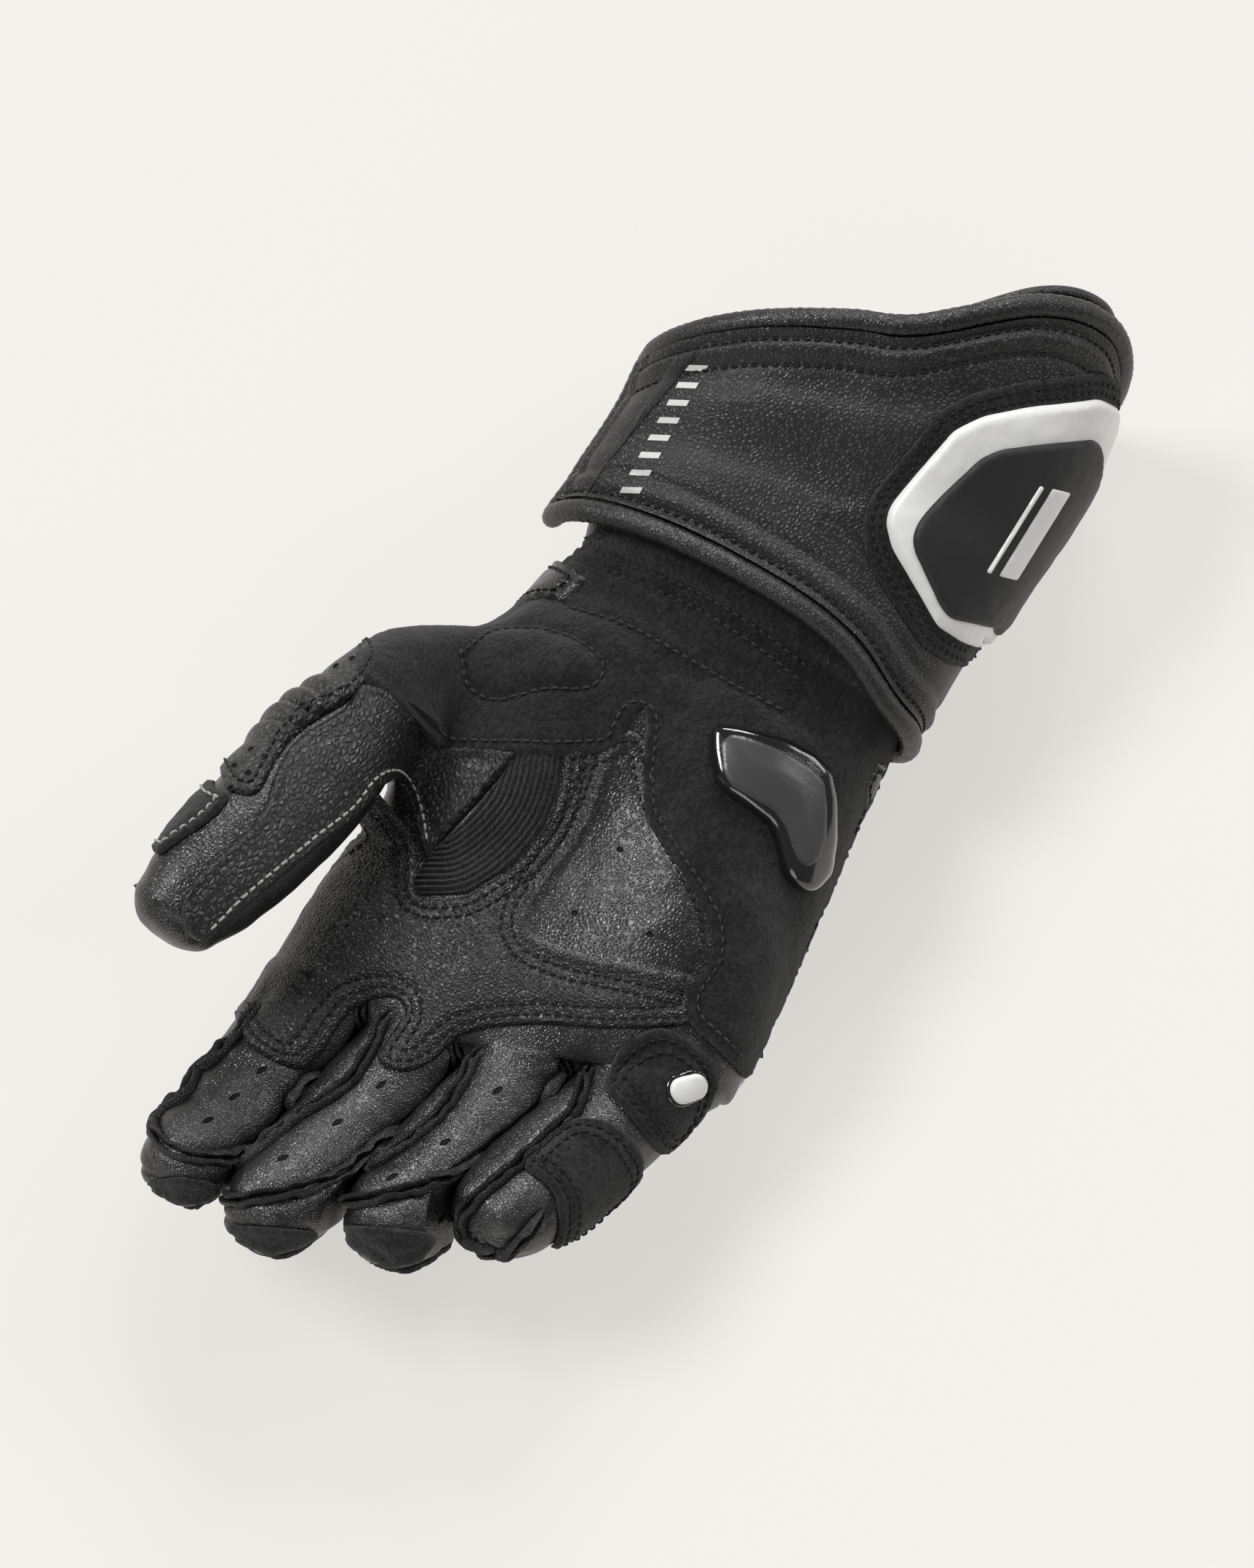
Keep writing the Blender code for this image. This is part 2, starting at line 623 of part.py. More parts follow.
# Outlines round a finger or the wrist, as (share of its axis, angle from the little-finger side)
LITTLE_BASE_OUTLINE = (
    (0.13, 88), (0.03, 101), (-0.11, 93), (-0.19, 85), (-0.24, 67), (-0.265, 41), (-0.22, 15), (-0.12, -10),
    (0.00, -22), (0.08, -14), (0.12, 20), (0.13, 58),
)
LITTLE_TIP_OUTLINE = (
    (0.68, 82), (0.58, 92), (0.37, 91), (0.29, 84), (0.20, 60), (0.17, 28), (0.17, -5), (0.24, -32),
    (0.45, -45), (0.66, -40), (0.66, 2), (0.63, 36),
)
THUMB_PANEL_OUTLINE = (
    (0.17, 114), (0.33, 118), (0.38, 117), (0.45, 104), (0.57, 89), (0.74, 94), (0.86, 93), (0.93, 60),
    (0.87, 32), (0.71, 46), (0.58, 39), (0.42, 40), (0.31, 36), (0.22, 34), (0.175, 40), (0.155, 65),
    (0.16, 95),
)
FINGERTIP_OUTLINE = (
    (0.50, -130), (0.50, -90), (0.50, -50), (0.70, -45), (0.86, -50), (0.86, -90), (0.86, -130),
    (0.70, -135),
)
THUMB_BACK_OUTLINE = (
    (0.19, 128), (0.19, 175), (0.19, 235), (0.35, 238), (0.49, 235), (0.49, 175), (0.49, 112), (0.42, 121),
    (0.35, 131),
)
THUMB_TIP_OUTLINE = (
    (0.55, 102), (0.55, 180), (0.55, 250), (0.75, 256), (0.91, 250), (0.91, 180), (0.91, 108), (0.75, 104),
)
STRAP_OUTLINE = ((0.76, -10), (0.93, -10), (0.93, -90), (0.93, -186), (0.76, -186), (0.76, -90))

# Outlines on the flap, as (share of the cuff's length, angle from the little-finger side)
WHITE_PLATE_OUTLINE = (
    (0.235, 51), (0.29, 60), (0.50, 59), (0.60, 50), (0.70, 38), (0.80, 24), (0.845, 12), (0.84, -4),
    (0.76, -18), (0.58, -27), (0.36, -26), (0.23, -12), (0.185, 6), (0.165, 24),
)
BLACK_PLATE_OUTLINE = (
    (0.265, 42), (0.31, 49), (0.50, 47), (0.60, 39), (0.68, 27), (0.735, 14), (0.725, -2), (0.66, -11),
    (0.54, -17), (0.38, -16), (0.28, -7), (0.235, 10), (0.215, 25),
)
GRIP_STRIP_OUTLINE = ((0.045, 155), (0.045, 148), (0.24, 143.5), (0.43, 138), (0.40, 146), (0.23, 151))


def build_hand(mats):
    cage, faces, parts, axes = hand_cage()
    points, quads, numbers = smooth_surface(cage, faces, parts, 1)
    part_fingers(points, quads, numbers, axes)
    surface = points, smooth_normals(points, quads), quads, numbers
    palm_parts = (0, 6, 7, 8, 9)
    shell_part("palm_shell", surface, palm_parts, LEATHER, mats["leather"])
    for f, finger in enumerate(FINGERS):
        shell_part("finger_" + finger.name, surface, (f + 1,), LEATHER, mats["leather"])
    shell_part("thumb", surface, (5,), LEATHER, mats["leather"])

    def skin(*wanted):
        chosen = wanted + palm_parts if 0 in wanted else wanted
        return BVHTree.FromPolygons(points, [q for q, n in zip(quads, numbers) if n in chosen])

    return skin, axes


def dome(height, edge, shoulder):
    """The rise of a moulded piece: edge at its rim, height past its shoulder."""
    def shape(p, d):
        t = min(1.0, d / shoulder)
        return mix(edge, height, t * (2 - t))
    return shape


def pill_outline(length, radius):
    """The rivet's round-ended outline, turned on the finger's base, round an axis of this length."""
    turn = radians(PILL_TURN)
    points = []
    for k in range(12):
        a = radians(k * 30 + 15)
        x = PILL_WIDTH / 2 * cos(a) + (PILL_LENGTH - PILL_WIDTH) / 2 * (1 if cos(a) > 0 else -1)
        y = PILL_WIDTH / 2 * sin(a)
        along, round_it = x * cos(turn) - y * sin(turn), x * sin(turn) + y * cos(turn)
        points.append((PILL_SHARE + along / length, PILL_ANGLE + degrees(round_it / radius)))
    return points


def axis_length(frames):
    return sum((b.centre - a.centre).length for a, b in zip(frames, frames[1:]))


def build_panels(mats, skin, axes):
    palm = skin(0)
    little = skin(0, 4)
    leather, suede = mats["leather"], mats["suede"]
    heel = panel("palm_suede", PALM_SUEDE_OUTLINE, SUEDE_TILT, palm, SUEDE, suede, gap=1.6 * PANEL_GAP)
    panel("palm_overlay", PALM_OVERLAY_OUTLINE, 0, palm, OVERLAY, leather)
    panel("stretch_gusset", GUSSET_OUTLINE, 0, palm, SUEDE, suede, step=0.7 * PANEL_STEP)
    panel("palm_slider", SLIDER_OUTLINE, SLIDER_TILT, tree_of(heel), SLIDER_HEIGHT, mats["gloss"],
          step=0.55 * PANEL_STEP, shape=dome(SLIDER_HEIGHT, 0.35 * SLIDER_HEIGHT, SLIDER_SHOULDER), rounds=1)
    little_axis, little_radius = axes["little"], FINGERS[3].width * FINGER_WIDTH / 2
    base = wrap("little_patch_base", LITTLE_BASE_OUTLINE, little_axis, little_radius, little, SUEDE, suede,
                step=0.8 * PANEL_STEP)
    wrap("little_patch_tip", LITTLE_TIP_OUTLINE, little_axis, little_radius, little, SUEDE, suede,
         step=0.8 * PANEL_STEP)
    rivet = pill_outline(axis_length(little_axis), little_radius)
    wrap("little_rivet", rivet, little_axis, little_radius, tree_of(base), PILL_HEIGHT, mats["white"],
         step=RIVET_STEP, rounds=0)
    guard_height = BACK_HEIGHT + GUARD_LEVELLED
    panel("knuckle_guard", KNUCKLE_GUARD_OUTLINE, 180, palm, guard_height, mats["gloss"],
          shape=dome(guard_height, GUARD_EDGE, GUARD_SHOULDER))
    for finger in FINGERS[:3]:
        radius = finger.width * FINGER_WIDTH / 2
        wrap(finger.name + "_tip_patch", FINGERTIP_OUTLINE, axes[finger.name], radius,
             skin(FINGERS.index(finger) + 1), SUEDE, suede, step=0.8 * PANEL_STEP)
    thumb_radius = THUMB[3].width * THUMB_WIDTH / 2
    thumb = skin(0, 5)
    wrap("thumb_panel", THUMB_PANEL_OUTLINE, axes["thumb"], thumb_radius, thumb, OVERLAY, leather)
    wrap("thumb_back_panel", THUMB_BACK_OUTLINE, axes["thumb"], thumb_radius, thumb, OVERLAY, leather)
    wrap("thumb_tip_patch", THUMB_TIP_OUTLINE, axes["thumb"], thumb_radius, thumb, SUEDE, suede)
    wrist = [Frame(Vector((-0.075 * PALM_WIDTH, share * PALM_LENGTH, BACK_HEIGHT + 0.5 * PALM_THICKNESS)),
                   Vector((1, 0, 0)), Vector((0, 0, 1))) for share in (0.0, 0.5, 1.0)]
    wrap("wrist_strap", STRAP_OUTLINE, wrist, PALM_WIDTH * 0.36, palm, STRAP, leather, rounds=1)


# Cuff sections from the wrist to the mouth: share of the cuff's length, then its middle across, as a share
# of the palm's width, and its width, height and lowest point, as shares of the cuff's width and height.
CuffSection = namedtuple("CuffSection", "along middle width height floor")
CUFF_SECTIONS = (
    CuffSection(0.00, -0.078, 0.88, 0.59, 0.11),
    CuffSection(0.15, -0.081, 0.90, 0.64, 0.09),
    CuffSection(0.40, -0.081, 0.94, 0.75, 0.04),
    CuffSection(0.70, -0.076, 0.96, 0.895, -0.015),
    CuffSection(1.00, -0.098, 0.93, 0.99, -0.02),
)
# Where the mouth's edge is at each angle, as a share of the cuff's length
MOUTH_EDGE = (
    (-180, 0.41), (-165, 0.53), (-120, 0.80), (-60, 0.87), (-20, 0.92), (10, 0.97), (35, 0.985),
    (60, 0.91), (90, 0.67), (120, 0.53), (150, 0.44), (180, 0.41),
)


def cuff_point(theta, along, lift):
    """A point on the cuff at an angle from the little-finger side, 90 being the palm side, and a share of
    the cuff's length."""
    t = radians(theta)
    c, s = cos(t), sin(t)
    middle = table_value([(k.along, k.middle) for k in CUFF_SECTIONS], along) * PALM_WIDTH
    half_w = table_value([(k.along, k.width) for k in CUFF_SECTIONS], along) * CUFF_WIDTH / 2
    half_h = table_value([(k.along, k.height) for k in CUFF_SECTIONS], along) * CUFF_HEIGHT / 2
    floor = table_value([(k.along, k.floor) for k in CUFF_SECTIONS], along) * CUFF_HEIGHT
    power = 2 / CUFF_SQUARENESS
    x = middle + (half_w + lift) * abs(c) ** power * (1 if c >= 0 else -1)
    z = floor + half_h + (half_h + lift) * abs(s) ** power * (1 if s >= 0 else -1)
    reach = table_value(MOUTH_EDGE, (theta + 180) % 360 - 180)
    y = PALM_LENGTH + SEAM_GAP + along * reach * CUFF_LENGTH
    return Vector((x, y, max(z, max(0.0, -lift))))


def flap_lift(theta, along):
    """The flap stands off the narrow wrist towards its free edge."""
    free = max(0.0, min(1.0, (theta - 100) / 70))
    rise = FLAP_RISE * max(0.0, 1 - 3 * max(0.0, along))
    return FLAP_LIFT + rise + FLAP_FLARE * free * max(0.0, 1 - 1.5 * along)


def cuff_sheet(name, angles, stops, share, lift, wall, mat, closed):
    """A wrapped sheet of the cuff, its inner face at a lift off the sleeve, closed all round or open."""
    places = [[(a, share(a, s)) for a in angles] for s in stops]
    rows = [[cuff_point(a, along, lift(a, along) + wall) for a, along in row] for row in places]
    rows_in = [[cuff_point(a, along, lift(a, along)) for a, along in row] for row in places]
    n, m = len(angles), len(stops)
    points = [p for row in rows for p in row] + [p for row in rows_in for p in row]
    half = n * m
    faces = []
    spans = n if closed else n - 1
    for i in range(m - 1):
        for j in range(spans):
            a, b = i * n + j, i * n + (j + 1) % n
            c, d = b + n, a + n
            faces.append((a, b, c, d))
            faces.append((half + d, half + c, half + b, half + a))
    for j in range(spans):
        a, b = j, (j + 1) % n
        faces.append((b, a, half + a, half + b))
        a, b = (m - 1) * n + j, (m - 1) * n + (j + 1) % n
        faces.append((a, b, half + b, half + a))
    if not closed:
        for i in range(m - 1):
            a, b = i * n, (i + 1) * n
            faces.append((a, b, half + b, half + a))
            a, b = i * n + n - 1, (i + 1) * n + n - 1
            faces.append((b, a, half + a, half + b))
    return closed_object(name, points, faces, mat)


def piping(name, points, outs, radius, mat, sides=6):
    """A round cord along a line of points, with flat ends; outs gives each point's outward direction."""
    rings = []
    for k, p in enumerate(points):
        ahead = (points[min(k + 1, len(points) - 1)] - points[max(k - 1, 0)]).normalized()
        across = ahead.cross(outs[k]).normalized()
        up = across.cross(ahead)
        turns = [radians(360 * j / sides) for j in range(sides)]
        rings.append([p + (across * cos(t) + up * sin(t)) * radius for t in turns])
    flat = [p for ring in rings for p in ring]
    faces = []
    for k in range(len(rings) - 1):
        for j in range(sides):
            a, b = k * sides + j, k * sides + (j + 1) % sides
            faces.append((a, b, b + sides, a + sides))
    faces.append(tuple(range(sides))[::-1])
    faces.append(tuple(range(len(flat) - sides, len(flat))))
    return closed_object(name, flat, faces, mat)


FLAP_FIRST, FLAP_LAST, FLAP_SPANS = -36, 172, 21
FLAP_STOPS = (0.0, 0.17, 0.38, 0.58, 0.79, 1.0)
FLAP_END = 0.93
CORNER_REACH = 0.84
# How high the plates' axis lies at the wrist and at the far end, as shares of the cuff's height
AXIS_LOW, AXIS_HIGH = 0.405, 0.485
# Where the flap's wrist edge is at each angle, as a share of the cuff's length there
FLAP_START = ((-36, 0.02), (60, 0.025), (120, 0.045), (172, 0.075))


def flap_share(theta, stop):
    """The share of the cuff's length at a share of the flap's."""
    return mix(table_value(FLAP_START, theta), FLAP_END, stop)


def flap_edge():
    """The line of the flap's edging, along its wrist edge, up its free edge and back along its mouth edge."""
    span = (FLAP_LAST - FLAP_FIRST) / FLAP_SPANS
    angles = [FLAP_FIRST + span * k for k in range(FLAP_SPANS + 1)]
    sides = ([(theta, 0.0) for theta in angles], [(FLAP_LAST, stop) for stop in FLAP_STOPS],
             [(theta, 1.0) for theta in angles[::-1]])
    points, outs, before = [], [], None
    for side in sides:
        rim, lifts = [], []
        for theta, stop in side:
            along = flap_share(theta, stop)
            lift = flap_lift(theta, along)
            rim.append(cuff_point(theta, along, lift + FLAP_THICKNESS / 2))
            raised = cuff_point(theta, along, lift + FLAP_THICKNESS)
            lifts.append((raised - cuff_point(theta, along, lift)).normalized())
        for k, p in enumerate(rim):
            ahead = (rim[min(k + 1, len(rim) - 1)] - rim[max(k - 1, 0)]).normalized()
            away = lifts[k].cross(ahead).normalized() * (PIPING_DIAMETER / 2 + PANEL_GAP)
            if k == 0 and before is not None:
                points.append(p + (away + before) * CORNER_REACH)
                outs.append(lifts[k])
            points.append(p + away)
            outs.append(lifts[k])
        before = away
    return points, outs


def build_cuff(mats):
    angles = [k * 360 / 32 for k in range(32)]
    stops = [0, 0.2, 0.4, 0.6, 0.8, 1.0]
    cuff_sheet("cuff_sleeve", angles, stops, lambda a, s: s, lambda a, s: -CUFF_WALL, CUFF_WALL,
               mats["leather"], True)
    span = (FLAP_LAST - FLAP_FIRST) / FLAP_SPANS
    flap_angles = [FLAP_FIRST + span * k for k in range(FLAP_SPANS + 1)]
    flap = cuff_sheet("cuff_flap", flap_angles, FLAP_STOPS, flap_share, flap_lift, FLAP_THICKNESS,
                      mats["leather"], False)
    piping("flap_piping", *flap_edge(), PIPING_DIAMETER / 2, mats["leather"])
    middle = CUFF_SECTIONS[0].middle * PALM_WIDTH
    axis = []
    for share in (0.0, 0.5, 1.0):
        y, z = PALM_LENGTH + SEAM_GAP + share * CUFF_LENGTH, mix(AXIS_LOW, AXIS_HIGH, share) * CUFF_HEIGHT
        axis.append(Frame(Vector((middle, y, z)), Vector((1, 0, 0)), Vector((0, 0, 1))))
    tree = tree_of(flap)
    radius = CUFF_WIDTH / 2
    white = wrap("cuff_plate_white", WHITE_PLATE_OUTLINE, axis, radius, tree, PLATE, mats["white"])
    wrap("cuff_plate_black", BLACK_PLATE_OUTLINE, axis, radius, tree_of(white), OVERLAY, mats["leather"])
    wrap("flap_grip_strip", GRIP_STRIP_OUTLINE, axis, radius, tree, OVERLAY, mats["suede"], rounds=1)


def build():
    for obj in list(bpy.data.objects):
        bpy.data.objects.remove(obj)
    mats = {
        "leather": material("black_leather", (0.02, 0.02, 0.021), 0.42),
        "suede": material("black_suede", (0.012, 0.012, 0.012), 0.9),
        "gloss": material("gloss_black", (0.01, 0.01, 0.01), 0.08),
        "white": material("white_plastic", (0.8, 0.8, 0.79), 0.35),
    }
    skin, axes = build_hand(mats)
    build_panels(mats, skin, axes)
    build_cuff(mats)


build()
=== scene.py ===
from collections import namedtuple
from math import atan2, cos, degrees, pi, radians, sin

import bmesh
import bpy
import numpy as np
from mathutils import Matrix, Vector, noise
from mathutils.bvhtree import BVHTree
from mathutils.geometry import delaunay_2d_cdt
from mathutils.kdtree import KDTree


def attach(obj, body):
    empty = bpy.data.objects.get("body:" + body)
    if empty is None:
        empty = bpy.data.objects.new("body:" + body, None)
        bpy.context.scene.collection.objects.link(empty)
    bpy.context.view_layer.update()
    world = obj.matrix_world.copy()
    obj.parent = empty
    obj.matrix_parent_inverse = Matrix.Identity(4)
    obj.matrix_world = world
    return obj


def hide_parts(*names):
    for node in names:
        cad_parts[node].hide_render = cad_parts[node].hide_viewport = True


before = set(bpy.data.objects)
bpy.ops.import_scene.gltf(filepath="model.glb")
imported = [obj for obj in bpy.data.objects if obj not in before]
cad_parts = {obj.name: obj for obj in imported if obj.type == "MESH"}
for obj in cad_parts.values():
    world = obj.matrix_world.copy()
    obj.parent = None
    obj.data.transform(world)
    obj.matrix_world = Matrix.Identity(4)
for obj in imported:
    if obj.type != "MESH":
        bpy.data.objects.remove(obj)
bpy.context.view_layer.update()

# Camera at the photograph's angle. Pixels are those of the photograph.
AZIMUTH, ELEVATION = radians(31), radians(75)
TARGET = Vector((-0.010, 0.045, 0.045))
DISTANCE = 1.3
PHOTO_WIDTH, PHOTO_HEIGHT = 1724, 2156
PIXELS_PER_METRE = 5900
SENSOR = 36.0
BACK = Vector((sin(AZIMUTH) * cos(ELEVATION), -cos(AZIMUTH) * cos(ELEVATION), sin(ELEVATION)))
RIGHT = Vector((cos(AZIMUTH), sin(AZIMUTH), 0.0))
UP = BACK.cross(RIGHT)
EYE = TARGET + BACK * DISTANCE


def look(x, y):
    """The direction from the camera through a pixel of the photograph."""
    focal = PIXELS_PER_METRE * DISTANCE
    return (RIGHT * (x - PHOTO_WIDTH / 2) + UP * (PHOTO_HEIGHT / 2 - y) - BACK * focal).normalized()


def make_camera():
    data = bpy.data.cameras.new("camera")
    data.sensor_width = SENSOR
    data.lens = PIXELS_PER_METRE * DISTANCE / PHOTO_HEIGHT * SENSOR
    data.clip_end = 20
    camera = bpy.data.objects.new("camera", data)
    camera.location = EYE
    camera.rotation_euler = BACK.to_track_quat("Z", "Y").to_euler()
    bpy.context.scene.collection.objects.link(camera)
    bpy.context.scene.camera = camera


# Lights and floor
FLOOR_COLOUR = (0.26, 0.255, 0.248)
FLOOR_GLOW = (0.612, 0.592, 0.567)
FLOOR_REACH = 3
WORLD_COLOUR = (1.0, 0.985, 0.965)
WORLD_STRENGTH = 0.20
LAMP_DISTANCE = 2
# Broad lights: where each comes from in the camera's axes, its spread in degrees and its strength
Sun = namedtuple("Sun", "name back up right spread strength")
SUNS = (
    Sun("key", 1, 0.65, -0.85, 20, 2.0),
    Sun("top", 0.35, 1, 0.12, 26, 1.7),
    Sun("rim", 0.45, 0.5, 1, 24, 0.7),
    Sun("low", 0.55, -1, -0.5, 30, 0.5),
)


def soft_sun(sun):
    toward = BACK * sun.back + UP * sun.up + RIGHT * sun.right
    data = bpy.data.lights.new(sun.name, "SUN")
    data.angle = radians(sun.spread)
    data.energy = sun.strength
    lamp = bpy.data.objects.new(sun.name, data)
    lamp.location = TARGET + toward.normalized() * LAMP_DISTANCE
    lamp.rotation_euler = toward.to_track_quat("Z", "Y").to_euler()
    bpy.context.scene.collection.objects.link(lamp)


def make_studio():
    world = bpy.data.worlds.new("studio")
    world.use_nodes = True
    background = world.node_tree.nodes["Background"]
    background.inputs["Color"].default_value = (*WORLD_COLOUR, 1)
    background.inputs["Strength"].default_value = WORLD_STRENGTH
    bpy.context.scene.world = world
    for sun in SUNS:
        soft_sun(sun)
    mesh = bpy.data.meshes.new("floor")
    r = FLOOR_REACH
    mesh.from_pydata([(-r, -r, 0), (r, -r, 0), (r, r, 0), (-r, r, 0)], [], [(0, 1, 2, 3)])
    floor = bpy.data.objects.new("floor", mesh)
    mat = bpy.data.materials.new("floor")
    mat.use_nodes = True
    shader = mat.node_tree.nodes["Principled BSDF"]
    shader.inputs["Base Color"].default_value = (*FLOOR_COLOUR, 1)
    shader.inputs["Roughness"].default_value = 0.9
    shader.inputs["Specular IOR Level"].default_value = 0.1
    shader.inputs["Emission Color"].default_value = (*FLOOR_GLOW, 1)
    shader.inputs["Emission Strength"].default_value = 1.0
    mesh.materials.append(mat)
    bpy.context.scene.collection.objects.link(floor)
    bpy.context.scene.view_settings.view_transform = "Standard"


# Materials

# How much finer grain, swells and long folds add to the pebbles' height
FINE_SHARE, SWELL_SHARE, FOLD_SHARE = 0.12, 0.4, 3
# How far from its edge a pebble still rises, as a share of its size, and how far its edge wavers
PEBBLE_SHOULDER, PEBBLE_WARP = 0.42, 0.5


def node(tree, kind, inputs=(), **settings):
    made = tree.nodes.new(kind)
    for key, value in settings.items():
        setattr(made, key, value)
    for key, value in dict(inputs).items():
        if isinstance(value, bpy.types.NodeSocket):
            tree.links.new(value, made.inputs[key])
        else:
            made.inputs[key].default_value = value
    return made


def texture_noise(tree, where, scale, detail=3.0, rough=0.55, distortion=0.0):
    return node(tree, "ShaderNodeTexNoise", {"Vector": where, "Scale": scale, "Detail": detail,
                                            "Roughness": rough, "Distortion": distortion}).outputs["Fac"]


def spread(tree, value, low, high, to_low, to_high):
    return node(tree, "ShaderNodeMapRange", {"Value": value, "From Min": low, "From Max": high,
                                            "To Min": to_low, "To Max": to_high}).outputs["Result"]


def mixed(tree, factor, a, b):
    made = node(tree, "ShaderNodeMix", data_type="RGBA")
    tree.links.new(factor, made.inputs["Factor"])
    made.inputs["A"].default_value = (*a, 1)
    made.inputs["B"].default_value = (*b, 1)
    return made.outputs["Result"]


def add_up(tree, a, b, share):
    return node(tree, "ShaderNodeMath", {0: b, 1: share, 2: a}, operation="MULTIPLY_ADD").outputs[0]


def start_material(name, stretch=(1, 1, 1), turn=0.0):
    mat = bpy.data.materials.new(name)
    mat.use_nodes = True
    tree = mat.node_tree
    coordinates = node(tree, "ShaderNodeTexCoord")
    where = node(tree, "ShaderNodeMapping", {"Vector": coordinates.outputs["Object"], "Scale": stretch,
                                            "Rotation": (0, 0, turn)}).outputs["Vector"]
    return mat, tree, where, tree.nodes["Principled BSDF"]


def bump(tree, shader, height, depth):
    made = node(tree, "ShaderNodeBump", {"Height": height, "Distance": depth, "Strength": 1.0})
    tree.links.new(made.outputs["Normal"], shader.inputs["Normal"])


def paint(tree, shader, factor, low, high, dark, light):
    """Colours a surface from dark to light as factor goes from low to high."""
    share = spread(tree, factor, low, high, 0.0, 1.0)
    tree.links.new(mixed(tree, share, dark, light), shader.inputs["Base Color"])


def shaded(colour, share):
    return tuple(c * share for c in colour)


def leather(name, colour, roughness, cell, depth, wrinkle, specular, stretch=(1, 1, 1), turn=0.0):
    """Grained leather: cells of a size, parted by fine grooves, with longer wrinkles and worn shine. Its
    colour holds painted shade in the grooves and painted light on the pebble tops.
    """
    mat, tree, where, shader = start_material(name, stretch, turn)
    warp = node(tree, "ShaderNodeTexNoise", {"Vector": where, "Scale": 0.35 / cell, "Detail": 2.0})
    moved = node(tree, "ShaderNodeVectorMath", {0: warp.outputs["Color"], 1: (cell * PEBBLE_WARP,) * 3},
                 operation="MULTIPLY")
    place = node(tree, "ShaderNodeVectorMath", {0: where, 1: moved.outputs[0]}, operation="ADD").outputs[0]
    grooves = node(tree, "ShaderNodeTexVoronoi", {"Vector": place, "Scale": 1 / cell},
                   feature="DISTANCE_TO_EDGE").outputs["Distance"]
    pebble = node(tree, "ShaderNodeMapRange",
                  {"Value": grooves, "From Min": 0.0, "From Max": PEBBLE_SHOULDER},
                  interpolation_type="SMOOTHSTEP").outputs["Result"]
    fine = texture_noise(tree, where, 2.2 / cell, 3.0)
    swells = texture_noise(tree, where, 0.6 / cell, 2.0)
    long_folds = texture_noise(tree, where, 0.16 / cell, 4.0, 0.6, 0.4)
    height = add_up(tree, pebble, fine, FINE_SHARE)
    height = add_up(tree, height, swells, SWELL_SHARE)
    height = add_up(tree, height, long_folds, wrinkle * FOLD_SHARE)
    bump(tree, shader, height, depth)
    broad = texture_noise(tree, where, 45.0, 3.0)
    rough = spread(tree, broad, 0.3, 0.7, roughness - 0.03, roughness + 0.09)
    rough = add_up(tree, rough, pebble, -0.10)
    tree.links.new(rough, shader.inputs["Roughness"])
    # Colour: painted shade in the grain's grooves and painted light on the pebble tops, mixed with random
    # tone from broad.
    shade = add_up(tree, pebble, broad, 0.5)
    paint(tree, shader, shade, 0.25, 1.1, shaded(colour, 0.22), shaded(colour, 1.3))
    shader.inputs["Specular IOR Level"].default_value = specular
    return mat


def suede(name, colour, flecks=0.0010, depth=0.0008):
    """Napped leather: matte, with short tufts and rubbed, lighter places."""
    mat, tree, where, shader = start_material(name, (1.0, 0.75, 1.0), 0.5)
    tufts = texture_noise(tree, where, 1 / flecks, 2.0, 0.5, 0.6)
    nap = texture_noise(tree, where, 3.2 / flecks, 4.0, 0.7)
    patches = texture_noise(tree, where, 70.0, 4.0, 0.6, 0.3)
    bump(tree, shader, add_up(tree, tufts, nap, 0.6), depth)
    shade = add_up(tree, add_up(tree, tufts, nap, 0.5), patches, 0.5)
    paint(tree, shader, shade, 0.86, 1.22, shaded(colour, 0.3), shaded(colour, 4.4))
    tree.links.new(spread(tree, tufts, 0.3, 0.7, 0.68, 0.9), shader.inputs["Roughness"])
    shader.inputs["Specular IOR Level"].default_value = 0.24
    shader.inputs["Sheen Weight"].default_value = 0.18
    shader.inputs["Sheen Roughness"].default_value = 0.45
    return mat


def moulded(name, colour, roughness, specular=0.5, coat=0.0, grain=0.0004, depth=0.00003):
    """Moulded plastic with a faint orange-peel surface and slight scuffs."""
    mat, tree, where, shader = start_material(name)
    peel = texture_noise(tree, where, 1 / grain, 2.0)
    scuffs = texture_noise(tree, where, 160.0, 5.0, 0.7, 1.5)
    bump(tree, shader, peel, depth)
    tree.links.new(spread(tree, scuffs, 0.4, 0.8, roughness, roughness + 0.12), shader.inputs["Roughness"])
    light = tuple(min(1.0, c * 1.04 + 0.001) for c in colour)
    paint(tree, shader, scuffs, 0.3, 0.75, light, shaded(colour, 0.94))
    shader.inputs["Specular IOR Level"].default_value = specular
    shader.inputs["Coat Weight"].default_value = coat
    shader.inputs["Coat Roughness"].default_value = 0.04
    return mat


def thread(name, colour):
    """Twisted sewing thread, with painted shade in the twist's grooves."""
    mat, tree, where, shader = start_material(name)
    twist = node(tree, "ShaderNodeTexWave", {"Vector": where, "Scale": 700.0, "Distortion": 1.5,
                                            "Detail": 1.0}, bands_direction="DIAGONAL").outputs["Fac"]
    bump(tree, shader, twist, 0.0001)
    # Colour: painted shade, darker where the twist is low.
    tree.links.new(mixed(tree, twist, shaded(colour, 0.6), colour), shader.inputs["Base Color"])
    shader.inputs["Roughness"].default_value = 0.6
    shader.inputs["Specular IOR Level"].default_value = 0.35
    return mat


